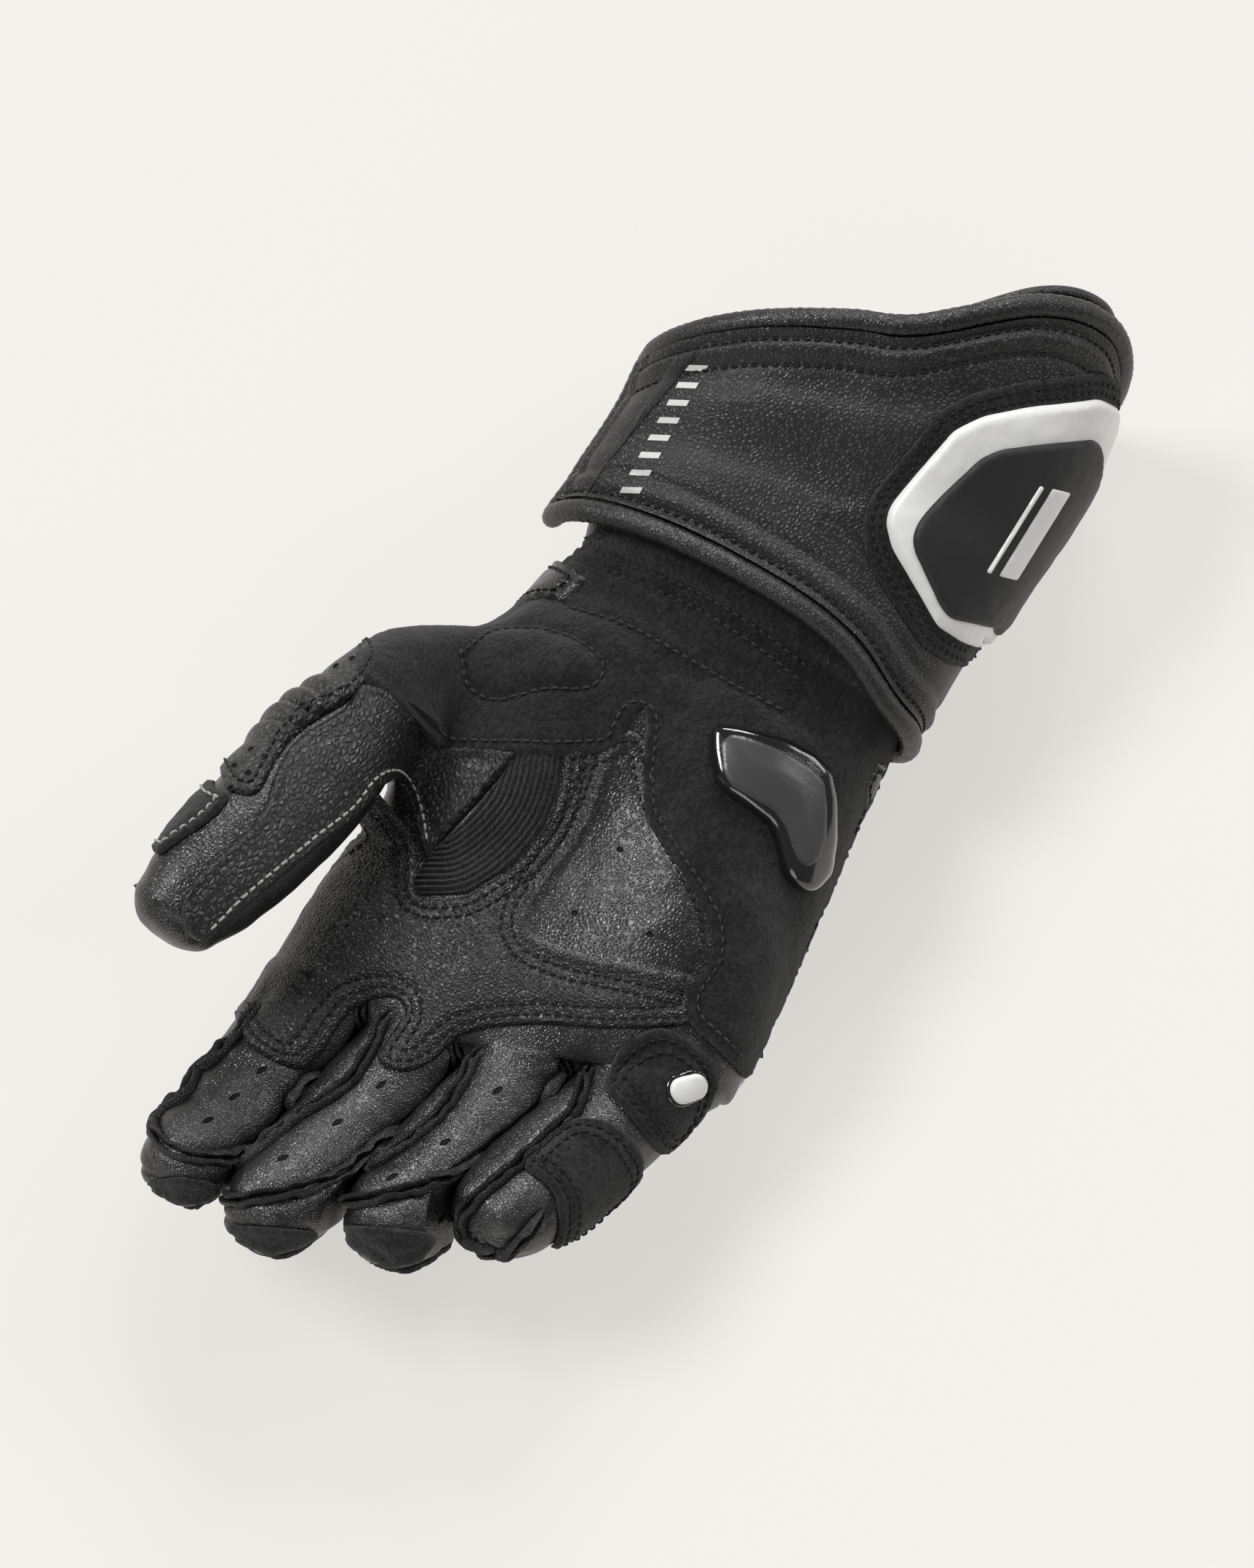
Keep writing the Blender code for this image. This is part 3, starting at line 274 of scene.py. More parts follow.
# Leathers: colour, roughness, pebble size, bump depth, share of long folds and specular level
MATS = {
    "pebbled": leather("leather_pebbled", (0.021, 0.021, 0.022), 0.40, 0.00100, 0.00030, 0.2, 0.7),
    "fine": leather("leather_fine", (0.019, 0.019, 0.020), 0.34, 0.00065, 0.00009, 1.1, 0.85),
    "thumb": leather("leather_thumb", (0.027, 0.027, 0.028), 0.43, 0.00130, 0.00030, 0.15, 0.55,
                     stretch=(1, 0.7, 1), turn=0.6),
    "smooth": leather("leather_smooth", (0.018, 0.018, 0.0185), 0.35, 0.00090, 0.00010, 1.3, 0.7),
    "flap": leather("leather_flap", (0.024, 0.024, 0.0245), 0.47, 0.00110, 0.00014, 0.15, 0.5),
    # Seam lips: coloured a little lighter than the fingers' leather, a painted highlight for the lit lips.
    "edge": leather("leather_edge_painted_light", (0.022, 0.022, 0.0225), 0.50, 0.00070, 0.00018, 1.0, 0.5),
    "piping": leather("leather_piping", (0.017, 0.017, 0.0175), 0.40, 0.00080, 0.00009, 1.2, 0.6),
    "suede": suede("suede", (0.0062, 0.0062, 0.0064)),
    "felt": suede("felt_strip", (0.009, 0.009, 0.0095), 0.0007),
    "knit": suede("ribbed_knit", (0.009, 0.009, 0.0095), 0.0006, 0.0003),
    "gloss": moulded("gloss_black", (0.006, 0.006, 0.0065), 0.05, 0.6, 0.6),
    "grey": moulded("grey_face", (0.052, 0.052, 0.054), 0.28, 0.45),
    "white": moulded("white_plastic", (0.80, 0.80, 0.79), 0.34),
    "print": moulded("pale_print", (0.62, 0.62, 0.61), 0.5),
    "matte": moulded("matte_black", (0.016, 0.016, 0.017), 0.55, 0.4, grain=0.0006, depth=0.00005),
    # Holes and slits are not cut: a nearly black lens stands in for each, painted shade for its depth.
    "pit": moulded("hole_painted_shade", (0.004, 0.004, 0.004), 0.7, 0.2),
    "black_thread": thread("black_thread", (0.009, 0.009, 0.0095)),
    # Black thread coloured lighter: painted light, so that the heel's stitches show as lit beads on the
    # suede.
    "grey_thread": thread("grey_thread", (0.040, 0.040, 0.041)),
    "white_thread": thread("white_thread", (0.46, 0.46, 0.44)),
}

# Sizes repeated from the CAD source
PALM_WIDTH = 0.108
PALM_LENGTH = 0.092
PALM_THICKNESS = 0.040
BACK_HEIGHT = 0.009
LEATHER = 0.0018
SEAM_GAP = 0.0004
FINGER_GAP = 0.0012
SIDE_INSET = 0.006
FINGER_LENGTH = 0.070
FINGER_WIDTH = 0.0262
THUMB_WIDTH = 0.031
CUFF_LENGTH = 0.108
CUFF_WIDTH = 0.097
CUFF_HEIGHT = 0.078
CUFF_WALL = 0.0020
FLAP_THICKNESS = 0.0026
FLAP_LIFT = 0.0026
FLAP_FLARE = 0.0030
FLAP_RISE = 0.0024
PIPING_DIAMETER = 0.0050
CUFF_SQUARENESS = 2.5
LOOK_FROM = 0.3
LOOK_FROM_AXIS = 0.09
FAR = 1.0

Section = namedtuple("Section", "along left right thumb index middle ring little floor")
PALM_SECTIONS = (
    Section(1.00, -0.500, 0.345, 0.86, 1.06, 1.12, 1.06, 0.84, 0.00),
    Section(0.86, -0.525, 0.355, 0.88, 1.08, 1.10, 1.06, 0.84, -0.02),
    Section(0.66, -0.550, 0.378, 0.98, 1.14, 1.02, 1.10, 0.84, -0.02),
    Section(0.40, -0.575, 0.408, 0.94, 1.02, 0.88, 1.10, 0.86, 0.00),
    Section(0.14, -0.566, 0.446, 0.62, 0.88, 0.86, 0.98, 0.80, 0.02),
    Section(-0.08, -0.585, 0.466, 0.64, 0.88, 0.90, 0.88, 0.74, 0.04),
)
THUMB_HOLE = (2, 3, 4)
COLUMNS = 9
FINGER_COLUMNS = "name across crotch length width depth heading roll base_curl mid_curl tip_curl"
Finger = namedtuple("Finger", FINGER_COLUMNS)
FINGERS = (
    Finger("index", -0.300, -0.330, 0.936, 0.962, 0.897, -6.0, 4.0, 10, 26, 38),
    Finger("middle", -0.082, -0.296, 1.000, 1.000, 0.935, -8.0, 12.0, 12, 28, 40),
    Finger("ring", 0.131, -0.175, 0.914, 1.038, 0.973, -7.0, 22.0, 12, 28, 40),
    Finger("little", 0.440, -0.020, 0.900, 1.061, 0.954, -15.0, 20.0, 12, 26, 38),
)
INDEX_OUTER = (-0.575, -0.36)
CROTCH_TOP = 0.72
CROTCH_FLOOR = 0.10
CROTCH_DEPTH = 0.0022
GATE_REACH = 0.35
RING_STOPS = (0.12, 0.36, 0.60, 0.83, 0.96)
RING_FILL = (1.02, 1.0, 0.98, 0.87, 0.58)
ThumbRing = namedtuple("ThumbRing", "across along height heading pitch roll width depth")
THUMB = (
    ThumbRing(-0.636, 0.390, 0.94, -50, 16, -8, 1.000, 1.065),
    ThumbRing(-0.640, 0.170, 1.14, -34, 18, -8, 1.016, 0.935),
    ThumbRing(-0.669, -0.030, 1.29, -16, 18, -12, 1.000, 0.935),
    ThumbRing(-0.697, -0.240, 1.46, -6, 16, -14, 0.948, 0.855),
    ThumbRing(-0.720, -0.420, 1.56, 0, 14, -14, 0.794, 0.700),
    ThumbRing(-0.726, -0.500, 1.60, 0, 10, -14, 0.484, 0.452),
)
LIMIT_SWELL = 1.108
Frame = namedtuple("Frame", "centre side lift")


def mix(a, b, t):
    return a + (b - a) * t


def table_value(points, t):
    """Smooth value at t of a table of (place, value) pairs."""
    if t <= points[0][0]:
        return points[0][1]
    for (t0, v0), (t1, v1) in zip(points, points[1:]):
        if t <= t1:
            s = (t - t0) / (t1 - t0)
            return mix(v0, v1, s * s * (3 - 2 * s))
    return points[-1][1]


def flowing_value(points, t):
    """Value at t of a table, on a curve without flat steps."""
    places = [p for p, _ in points]
    k = min(max(sum(t >= p for p in places) - 1, 0), len(points) - 2)
    slopes = [(b[1] - a[1]) / (b[0] - a[0]) for a, b in zip(points, points[1:])]
    slopes = [slopes[0]] + [(a + b) / 2 for a, b in zip(slopes, slopes[1:])] + [slopes[-1]]
    (t0, v0), (t1, v1) = points[k], points[k + 1]
    span = t1 - t0
    u = (t - t0) / span
    return (v0 * (1 + 2 * u) * (1 - u) ** 2 + v1 * (3 - 2 * u) * u * u
            + span * (slopes[k] * u * (1 - u) ** 2 - slopes[k + 1] * u * u * (1 - u)))


def frame_at(centre, heading, pitch, roll):
    h, p, r = radians(heading), radians(pitch), radians(roll)
    ahead = Vector((sin(h) * cos(p), -cos(h) * cos(p), sin(p)))
    level = Vector((cos(h), sin(h), 0.0))
    side = level * cos(r) + ahead.cross(level) * sin(r)
    return Frame(centre, side, ahead.cross(side))


def oval_ring(place, width, depth):
    a, b = width / 2 * LIMIT_SWELL, depth / 2 * LIMIT_SWELL
    corner = 0.76
    palm_side = ((-corner, corner), (0, 1), (corner, corner), (1, 0))
    shape = palm_side + tuple((-x, -z) for x, z in palm_side)
    return [place.centre + place.side * (a * x) + place.lift * (b * z) for x, z in shape]


def palm_ring(section):
    left, right = section.left * PALM_WIDTH, section.right * PALM_WIDTH
    y = section.along * PALM_LENGTH
    floor = BACK_HEIGHT + section.floor * PALM_THICKNESS
    over = (section.thumb, section.index, section.middle, section.ring, section.little)
    heights = [(2 * k, height) for k, height in enumerate(over)]
    top, back = [], []
    for j in range(COLUMNS):
        x = mix(left + SIDE_INSET, right - SIDE_INSET, j / (COLUMNS - 1))
        edge = abs(2 * j / (COLUMNS - 1) - 1) ** 4
        top.append(Vector((x, y, BACK_HEIGHT + table_value(heights, j) * PALM_THICKNESS)))
        back.append(Vector((x, y, floor + 0.16 * edge * PALM_THICKNESS)))
    middle = BACK_HEIGHT + 0.42 * PALM_THICKNESS
    return top, Vector((right, y, middle)), back, Vector((left, y, middle))


def crotch_ring():
    gates = [INDEX_OUTER] + [(f.across, f.crotch) for f in FINGERS]
    top, back = [], []
    for j in range(COLUMNS):
        a = gates[j // 2]
        b = gates[min((j + 1) // 2, 4)]
        x = (a[0] + b[0]) / 2 * PALM_WIDTH
        y = (a[1] + b[1]) / 2 * PALM_LENGTH
        inset = SIDE_INSET * ((j == 0) - (j == COLUMNS - 1))
        rise = 0.10 if j % 2 else 0.0
        top.append(Vector((x + inset, y, BACK_HEIGHT + (CROTCH_TOP + rise) * PALM_THICKNESS)))
        back.append(Vector((x + inset, y, BACK_HEIGHT + (CROTCH_FLOOR - rise / 2) * PALM_THICKNESS)))
    middle = BACK_HEIGHT + (CROTCH_TOP + CROTCH_FLOOR) / 2 * PALM_THICKNESS
    right = Vector((gates[-1][0] * PALM_WIDTH, gates[-1][1] * PALM_LENGTH, middle))
    left = Vector((gates[0][0] * PALM_WIDTH, gates[0][1] * PALM_LENGTH, middle))
    return top, right, back, left


def finger_frames(finger, base):
    frames = []
    centre = base.copy()
    travelled = 0.0
    base_curl, mid_curl, tip_curl = finger.base_curl, finger.mid_curl, finger.tip_curl
    stops = ((0.0, base_curl), (0.34, base_curl), (0.62, mid_curl), (1.0, tip_curl))
    for stop in RING_STOPS:
        h, p = radians(finger.heading), radians(table_value(stops, (stop + travelled) / 2))
        step = (stop - travelled) * finger.length * FINGER_LENGTH
        centre = centre + Vector((sin(h) * cos(p), -cos(h) * cos(p), sin(p))) * step
        travelled = stop
        frames.append(frame_at(centre, finger.heading, table_value(stops, stop), finger.roll))
    return frames


def thumb_frames():
    frames = []
    for row in THUMB:
        height = BACK_HEIGHT + row.height * PALM_THICKNESS
        centre = Vector((row.across * PALM_WIDTH, row.along * PALM_LENGTH, height))
        frames.append(frame_at(centre, row.heading, row.pitch, row.roll))
    return frames


def hand_cage():
    """Points, faces, part numbers and frames: 0 palm, 1 to 4 fingers, 5 thumb, 6 to 9 finger roots."""
    points, faces, parts = [], [], []
    axes = {}

    def add(p):
        points.append(Vector(p))
        return len(points) - 1

    def loop_faces(a, b, number):
        n = len(a)
        for k in range(n):
            faces.append((a[k], a[(k + 1) % n], b[(k + 1) % n], b[k]))
            parts.append(number)

    def close_tip(ring, number):
        middle = add(sum((points[i] for i in ring), Vector()) / len(ring))
        for k in range(1, 8, 2):
            faces.append((ring[k], ring[(k + 1) % 8], ring[(k + 2) % 8], middle))
            parts.append(number)

    rings = []
    for data in [palm_ring(s) for s in PALM_SECTIONS] + [crotch_ring()]:
        top, right, back, left = data
        ring = dict(top=[add(p) for p in top], right=add(right), back=[add(p) for p in back])
        rings.append(dict(ring, left=add(left)))
    for k, (a, b) in enumerate(zip(rings, rings[1:])):
        loop_a = a["top"] + [a["right"]] + a["back"][::-1] + [a["left"]]
        loop_b = b["top"] + [b["right"]] + b["back"][::-1] + [b["left"]]
        n = len(loop_a)
        for j in range(n):
            if k in THUMB_HOLE[:2] and j in (n - 2, n - 1):
                continue
            faces.append((loop_a[j], loop_a[(j + 1) % n], loop_b[(j + 1) % n], loop_b[j]))
            parts.append(0)
    last = rings[-1]
    crotches = [last["left"]]
    for j in (2, 4, 6):
        crotches.append(add((points[last["top"][j]] + points[last["back"][j]]) / 2))
    crotches.append(last["right"])
    for f, finger in enumerate(FINGERS):
        j = 2 * f
        gate = last["top"][j:j + 3] + [crotches[f + 1]] + last["back"][j:j + 3][::-1] + [crotches[f]]
        base = sum((points[i] for i in gate), Vector()) / len(gate)
        previous = gate
        axes[finger.name] = finger_frames(finger, base)
        slant = points[last["top"][j + 2]] - points[last["top"][j]]
        for number, (place, fill) in enumerate(zip(axes[finger.name], RING_FILL)):
            if number == 0:
                heading = (finger.heading + degrees(atan2(slant.y, slant.x))) / 2
                centre = mix(place.centre, axes[finger.name][1].centre, GATE_REACH)
                place = frame_at(centre, heading, finger.base_curl, finger.roll)
            size = FINGER_WIDTH * fill
            current = [add(p) for p in oval_ring(place, finger.width * size, finger.depth * size)]
            loop_faces(previous, current, f + 1 if number else f + 6)
            previous = current
        close_tip(previous, f + 1)
    first, second, third = (rings[k] for k in THUMB_HOLE)
    previous = [first["top"][0], second["top"][0], third["top"][0], third["left"],
                third["back"][0], second["back"][0], first["back"][0], first["left"]]
    axes["thumb"] = thumb_frames()
    for number, (place, row) in enumerate(zip(axes["thumb"], THUMB)):
        current = [add(p) for p in oval_ring(place, row.width * THUMB_WIDTH, row.depth * THUMB_WIDTH)]
        loop_faces(previous, current, 5 if number > 1 else 0)
        previous = current
    close_tip(previous, 5)
    return points, faces, parts, axes


# The dense skin

LEVELS = 4


def unit(a):
    return a / np.maximum(np.linalg.norm(a, axis=-1, keepdims=True), 1e-12)


def smooth_surface(points, faces, parts, levels):
    """The cage's subdivided surface as arrays of points, quads and part numbers."""
    mesh = bpy.data.meshes.new("cage")
    mesh.from_pydata([tuple(p) for p in points], [], faces)
    for _ in range(10):
        mesh.materials.append(None)
    mesh.polygons.foreach_set("material_index", parts)
    obj = bpy.data.objects.new("cage", mesh)
    bpy.context.scene.collection.objects.link(obj)
    bm = bmesh.new()
    bm.from_mesh(mesh)
    bmesh.ops.recalc_face_normals(bm, faces=bm.faces)
    bm.to_mesh(mesh)
    bm.free()
    modifier = obj.modifiers.new("smooth", "SUBSURF")
    modifier.levels = levels
    graph = bpy.context.evaluated_depsgraph_get()
    made = obj.evaluated_get(graph).to_mesh()
    co = np.empty(len(made.vertices) * 3)
    made.vertices.foreach_get("co", co)
    quads = np.empty(len(made.polygons) * 4, dtype=np.int64)
    made.loops.foreach_get("vertex_index", quads)
    numbers = np.empty(len(made.polygons), dtype=np.int64)
    made.polygons.foreach_get("material_index", numbers)
    bpy.data.objects.remove(obj)
    bpy.data.meshes.remove(mesh)
    return co.reshape(-1, 3), quads.reshape(-1, 4), numbers


def axis_places(frames, points):
    """For each point: the nearest place on the axis, its share, and the angle from the side direction."""
    centres = np.array([f.centre for f in frames])
    sides = np.array([f.side for f in frames])
    lifts = np.array([f.lift for f in frames])
    best = np.full(len(points), FAR)
    place, side, lift = np.zeros((3, len(points), 3))
    share = np.zeros(len(points))
    for k in range(len(centres) - 1):
        d = centres[k + 1] - centres[k]
        t = np.clip((points - centres[k]) @ d / (d @ d), 0, 1)
        q = centres[k] + t[:, None] * d
        r = np.linalg.norm(points - q, axis=1)
        m = r < best
        best[m], place[m], share[m] = r[m], q[m], (k + t[m]) / (len(centres) - 1)
        side[m] = (sides[k] + t[:, None] * (sides[k + 1] - sides[k]))[m]
        lift[m] = (lifts[k] + t[:, None] * (lifts[k + 1] - lifts[k]))[m]
    off = points - place
    angle = np.degrees(np.arctan2((off * lift).sum(1), (off * side).sum(1)))
    return place, share, angle


def part_fingers(points, quads, numbers, axes):
    """Presses neighbouring fingers flat where they meet, a seam's gap apart."""
    owned = []
    for f in range(len(FINGERS)):
        mask = np.zeros(len(points), dtype=bool)
        mask[quads[(numbers == f + 1) | (numbers == f + 6)].ravel()] = True
        owned.append(mask)
    for f in range(len(FINGERS)):
        for other in (f - 1, f + 1):
            if not 0 <= other < len(FINGERS):
                continue
            shared = owned[f] & owned[other]
            mine = np.nonzero(owned[f] if other > f else owned[f] & ~shared)[0]
            p = points[mine]
            a, _, _ = axis_places(axes[FINGERS[f].name], p)
            b, _, _ = axis_places(axes[FINGERS[other].name], p)
            share = FINGERS[f].width / (FINGERS[f].width + FINGERS[other].width)
            toward = unit(b - a)
            over = ((p - (a + (b - a) * share)) * toward).sum(1)
            both = shared[mine]
            push = np.where(both, over, np.maximum(over + FINGER_GAP / 2, 0))
            p = p - toward * push[:, None]
            p[both, 1] += CROTCH_DEPTH
            points[mine] = p


def surface_normals(points, faces):
    a, b, c, d = (points[faces[:, k]] for k in range(4))
    n = unit(np.cross(c - a, d - b))
    normals = np.zeros_like(points)
    for k in range(4):
        np.add.at(normals, faces[:, k], n)
    return unit(normals)


def tree_from(points, faces):
    return BVHTree.FromPolygons([tuple(p) for p in points], [tuple(f) for f in faces])


def noisy(points, scale, seed=0.0):
    shift = Vector((seed, seed * 1.7, seed * 2.3))
    return np.array([noise.noise(Vector(p) * scale + shift) for p in points])


def nearest_distance(points, lines):
    """The distance of each point from the nearest point of these 3-D lines."""
    spots = np.concatenate([np.asarray(line) for line in lines])
    tree = KDTree(len(spots))
    for k, p in enumerate(spots):
        tree.insert(Vector(p), k)
    tree.balance()
    return np.array([tree.find(Vector(p))[2] for p in points])


# Lines traced on the photograph and laid on a surface

def curve_through(points, step):
    """A smooth line through the points, in even steps."""
    p = np.asarray(points, dtype=float)
    p = np.vstack([2 * p[0] - p[1], p, 2 * p[-1] - p[-2]])
    made = []
    for a, b, c, d in zip(p, p[1:], p[2:], p[3:]):
        pieces = max(2, int(np.linalg.norm(c - b) / step * 2))
        for i in range(pieces):
            t = i / pieces
            made.append(0.5 * ((2 * b) + (c - a) * t + (2 * a - 5 * b + 4 * c - d) * t * t
                               + (3 * b - a - 3 * c + d) * t ** 3))
    return even(np.array(made + [p[-2]]), step)


def arc_lengths(line):
    return np.concatenate([[0], np.cumsum(np.linalg.norm(np.diff(line[:, :3], axis=0), axis=1))])


def even(line, step):
    """The same line with its points an equal distance apart."""
    line = np.asarray(line)
    lengths = arc_lengths(line)
    count = max(2, int(round(lengths[-1] / step)) + 1)
    at = np.linspace(0, lengths[-1], count)
    return np.stack([np.interp(at, lengths, line[:, k]) for k in range(line.shape[1])], axis=1)


def relaxed(line, passes):
    line = line.copy()
    for _ in range(passes):
        line[1:-1] = (line[:-2] + line[1:-1] * 2 + line[2:]) / 4
    return line


# The height at which a ray that misses the glove is stopped
TRACE_DEPTH = 0.042
# Steps of a traced line, in pixels of the photograph and in metres
PIXEL_STEP, LINE_STEP = 4.0, 0.0008


def seen_at(tree, x, y):
    """What a pixel shows of a surface, or what is nearest to it: the place, its normal and the ray."""
    ray = look(x, y)
    hit, normal, _, _ = tree.ray_cast(EYE, ray)
    if hit is None:
        hit, normal, _, _ = tree.find_nearest(EYE + ray * ((TRACE_DEPTH - EYE.z) / ray.z))
    return hit, -normal if normal.dot(ray) > 0 else normal, ray


def trace(tree, pixels):
    """Photograph pixels as an even line on a surface, with its normals."""
    found = [seen_at(tree, x, y) for x, y in curve_through(pixels, PIXEL_STEP)]
    spots = np.array([tuple(hit) for hit, _, _ in found])
    outs = np.array([tuple(normal) for _, normal, _ in found])
    both = np.hstack([relaxed(spots, 3), outs])
    lengths = arc_lengths(both)
    at = np.linspace(0, lengths[-1], max(2, int(round(lengths[-1] / LINE_STEP)) + 1))
    both = np.stack([np.interp(at, lengths, both[:, k]) for k in range(6)], axis=1)
    return both[:, :3], unit(relaxed(both[:, 3:], 4))


def settle(tree, line, normals):
    """Moves a line onto a surface again, along its normals."""
    made, outs = [], []
    for p, n in zip(line, normals):
        start = Vector(p) + Vector(n) * 0.006
        hit, normal, _, _ = tree.ray_cast(start, -Vector(n), 0.016)
        if hit is None:
            hit, normal, _, _ = tree.find_nearest(Vector(p))
        if normal.dot(Vector(n)) < 0:
            normal = -normal
        made.append(tuple(hit))
        outs.append(tuple(normal))
    return relaxed(np.array(made), 1), unit(relaxed(np.array(outs), 3))


def frames_along(line, normals):
    """Unit directions ahead and across at each point of a line on a surface."""
    ahead = unit(np.gradient(line, axis=0))
    across = unit(np.cross(ahead, normals))
    return ahead, across, np.cross(across, ahead)


# Making pieces

def add_piece(name, points, faces, materials, slot, kinds=None, sharp=55, replaced=()):
    mesh = bpy.data.meshes.new(name)
    mesh.from_pydata([tuple(p) for p in points], [], [tuple(int(i) for i in f) for f in faces])
    mesh.update()
    mesh.shade_smooth()
    mesh.set_sharp_from_angle(angle=radians(sharp))
    obj = bpy.data.objects.new(name, mesh)
    for mat in materials if isinstance(materials, (list, tuple)) else [materials]:
        mesh.materials.append(MATS[mat])
    if kinds is not None:
        mesh.polygons.foreach_set("material_index", [int(k) for k in kinds])
    bpy.context.scene.collection.objects.link(obj)
    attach(obj, "root")
    if replaced:
        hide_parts(*replaced)
    return obj


def turned_out(points, faces):
    """The faces of a closed mesh, turned so that they face out."""
    points = np.asarray([tuple(p) for p in points])
    corners = np.array([(f[0], f[i], f[i + 1]) for f in faces for i in range(1, len(f) - 1)])
    a, b, c = (points[corners[:, k]] - points.mean(axis=0) for k in range(3))
    volume = (a * np.cross(b, c)).sum()
    return faces if volume > 0 else [tuple(f[::-1]) for f in faces]


class Heap:
    """Collects points and faces of many small closed forms for one piece."""

    def __init__(self):
        self.points, self.faces = [], []

    def add(self, points, faces):
        start = len(self.points)
        self.points += [tuple(p) for p in points]
        self.faces += [tuple(i + start for i in f) for f in faces]

    def piece(self, name, materials, slot, **more):
        return add_piece(name, self.points, self.faces, materials, slot, **more)


def tube_faces(rings, sides):
    """The faces of a closed tube of rings, its points counted against the clock seen from its end."""
    faces = []
    for i in range(rings - 1):
        for j in range(sides):
            a, b = i * sides + j, i * sides + (j + 1) % sides
            faces.append((a, b, b + sides, a + sides))
    return faces + [tuple(range(sides))[::-1], tuple(range((rings - 1) * sides, rings * sides))]


def sweep(heap, line, normals, section, closed=False):
    """A form swept along a line: section gives (across, up) points for each place and arc length."""
    _, across, up = frames_along(line, normals)
    lengths = arc_lengths(line)
    rings = []
    for k in range(len(line)):
        shape = section(lengths[k], lengths[-1])
        rings.append([line[k] + across[k] * x + up[k] * z for x, z in shape])
    m, n = len(rings[0]), len(rings)
    points = [p for ring in rings for p in ring]
    faces = []
    for k in range(n if closed else n - 1):
        for j in range(m):
            a, b = k * m + j, k * m + (j + 1) % m
            c, d = ((k + 1) % n) * m + (j + 1) % m, ((k + 1) % n) * m + j
            faces.append((a, b, c, d))
    if not closed:
        faces += [tuple(range(m))[::-1], tuple(range((n - 1) * m, n * m))]
    heap.add(points, turned_out(points, faces))


def round_section(width, height, sink=0.3, sides=8, taper=0.0, wave=0.0, pitch=0.0023, shift=0.0, seed=0.0):
    """An oval cross-section that can waver and run thin at its ends."""
    def section(s, total):
        end = 1.0
        if taper:
            end = min(1.0, max(0.12, min(s, total - s) / taper))
        a = noise.noise(Vector((s / pitch, seed, 0.3)))
        b = noise.noise(Vector((s / pitch * 0.7, seed + 9.1, 4.2)))
        x0 = shift + wave * a
        h = height * end * (1 + 0.45 * b * (wave > 0))
        w = width * (0.6 + 0.4 * end) * (1 + 0.25 * a * (wave > 0))
        turns = [2 * pi * j / sides for j in range(sides)]
        return [(x0 + w / 2 * cos(t), h * ((1 - sink) / 2 + (1 + sink) / 2 * sin(t))) for t in turns]
    return section


STITCH_PITCH = 0.0025
STITCH_LENGTH = 0.0019
THREAD_RADIUS = 0.00031
THREAD_SIDES = 5
# One stitch: places along it, then its middle's height and its thickness there
STITCH_BEND = ((-0.5, -0.9, 0.45), (-0.36, 0.55, 1.0), (0.0, 1.0, 1.0), (0.36, 0.55, 1.0), (0.5, -0.9, 0.45))


def stitch_row(heap, line, normals):
    """Separate stitches of thread along a line, each bending into the leather at both ends."""
    both = even(np.hstack([line, normals]), STITCH_PITCH)
    line, normals = both[:, :3], unit(both[:, 3:])
    ahead, across, up = frames_along(line, normals)
    turns = [2 * pi * j / THREAD_SIDES for j in range(THREAD_SIDES)]
    radius = THREAD_RADIUS
    shape = np.array([(s * STITCH_LENGTH, cos(t) * radius * r, z * radius + sin(t) * radius * r)
                      for s, z, r in STITCH_BEND for t in turns])
    faces = tube_faces(len(STITCH_BEND), THREAD_SIDES)
    for k in range(len(line)):
        skew = 0.10 * noise.noise(Vector((k * 3.7, line[k][0] * 900, line[k][1] * 900)))
        axes = np.array([unit(ahead[k] + across[k] * skew), across[k], up[k]])
        heap.add(line[k] + shape @ axes, faces)


# Outlines on the palm side: pixels of the photograph, or (share of the palm's length, angle) where hidden
SUEDE_PLACES = (
    (806, 752), (1.12, 106), (1.13, 90), (1.13, 72), (1.10, 60), (0.95, 55), (0.70, 54), (0.40, 53),
    (0.15, 52),
    (0.02, 54), (1003, 1462), (965, 1425), (940, 1399), (938, 1362), (974, 1315), (974, 1268), (926, 1190),
    (883, 1122), (881, 1059), (889, 985), (884, 966), (870, 985), (858, 1010), (848, 1036), (771, 1041),
    (674, 1038), (601, 1035), (567, 1001), (528, 957), (490, 933), (0.52, 129), (0.66, 129), (0.80, 129),
    (760, 796),
)
OVERLAY_PLACES = (
    (775, 1032), (820, 1022), (868, 1000), (893, 1020), (905, 1090), (945, 1165), (990, 1255), (995, 1312),
    (962, 1360), (958, 1398), (938, 1411), (880, 1413), (825, 1414), (741, 1408), (674, 1412), (629, 1424),
    (595, 1461), (562, 1475), (530, 1470), (517, 1456), (540, 1420), (562, 1392), (545, 1370), (517, 1372),
    (490, 1384), (472, 1402), (446, 1445), (421, 1477), (380, 1462), (343, 1438), (-0.50, 124), (-0.35, 126),
    (-0.18, 127), (-0.03, 126), (532, 1110), (552, 1096), (568, 1130), (576, 1180), (570, 1226), (582, 1240),
    (640, 1236),
    (705, 1193), (752, 1138), (770, 1085),
)
GUSSET_PLACES = (
    (568, 1212), (575, 1232), (640, 1229), (703, 1189), (747, 1134), (766, 1080), (771, 1030), (713, 1030),
    (684, 1076), (640, 1129), (586, 1180),
)
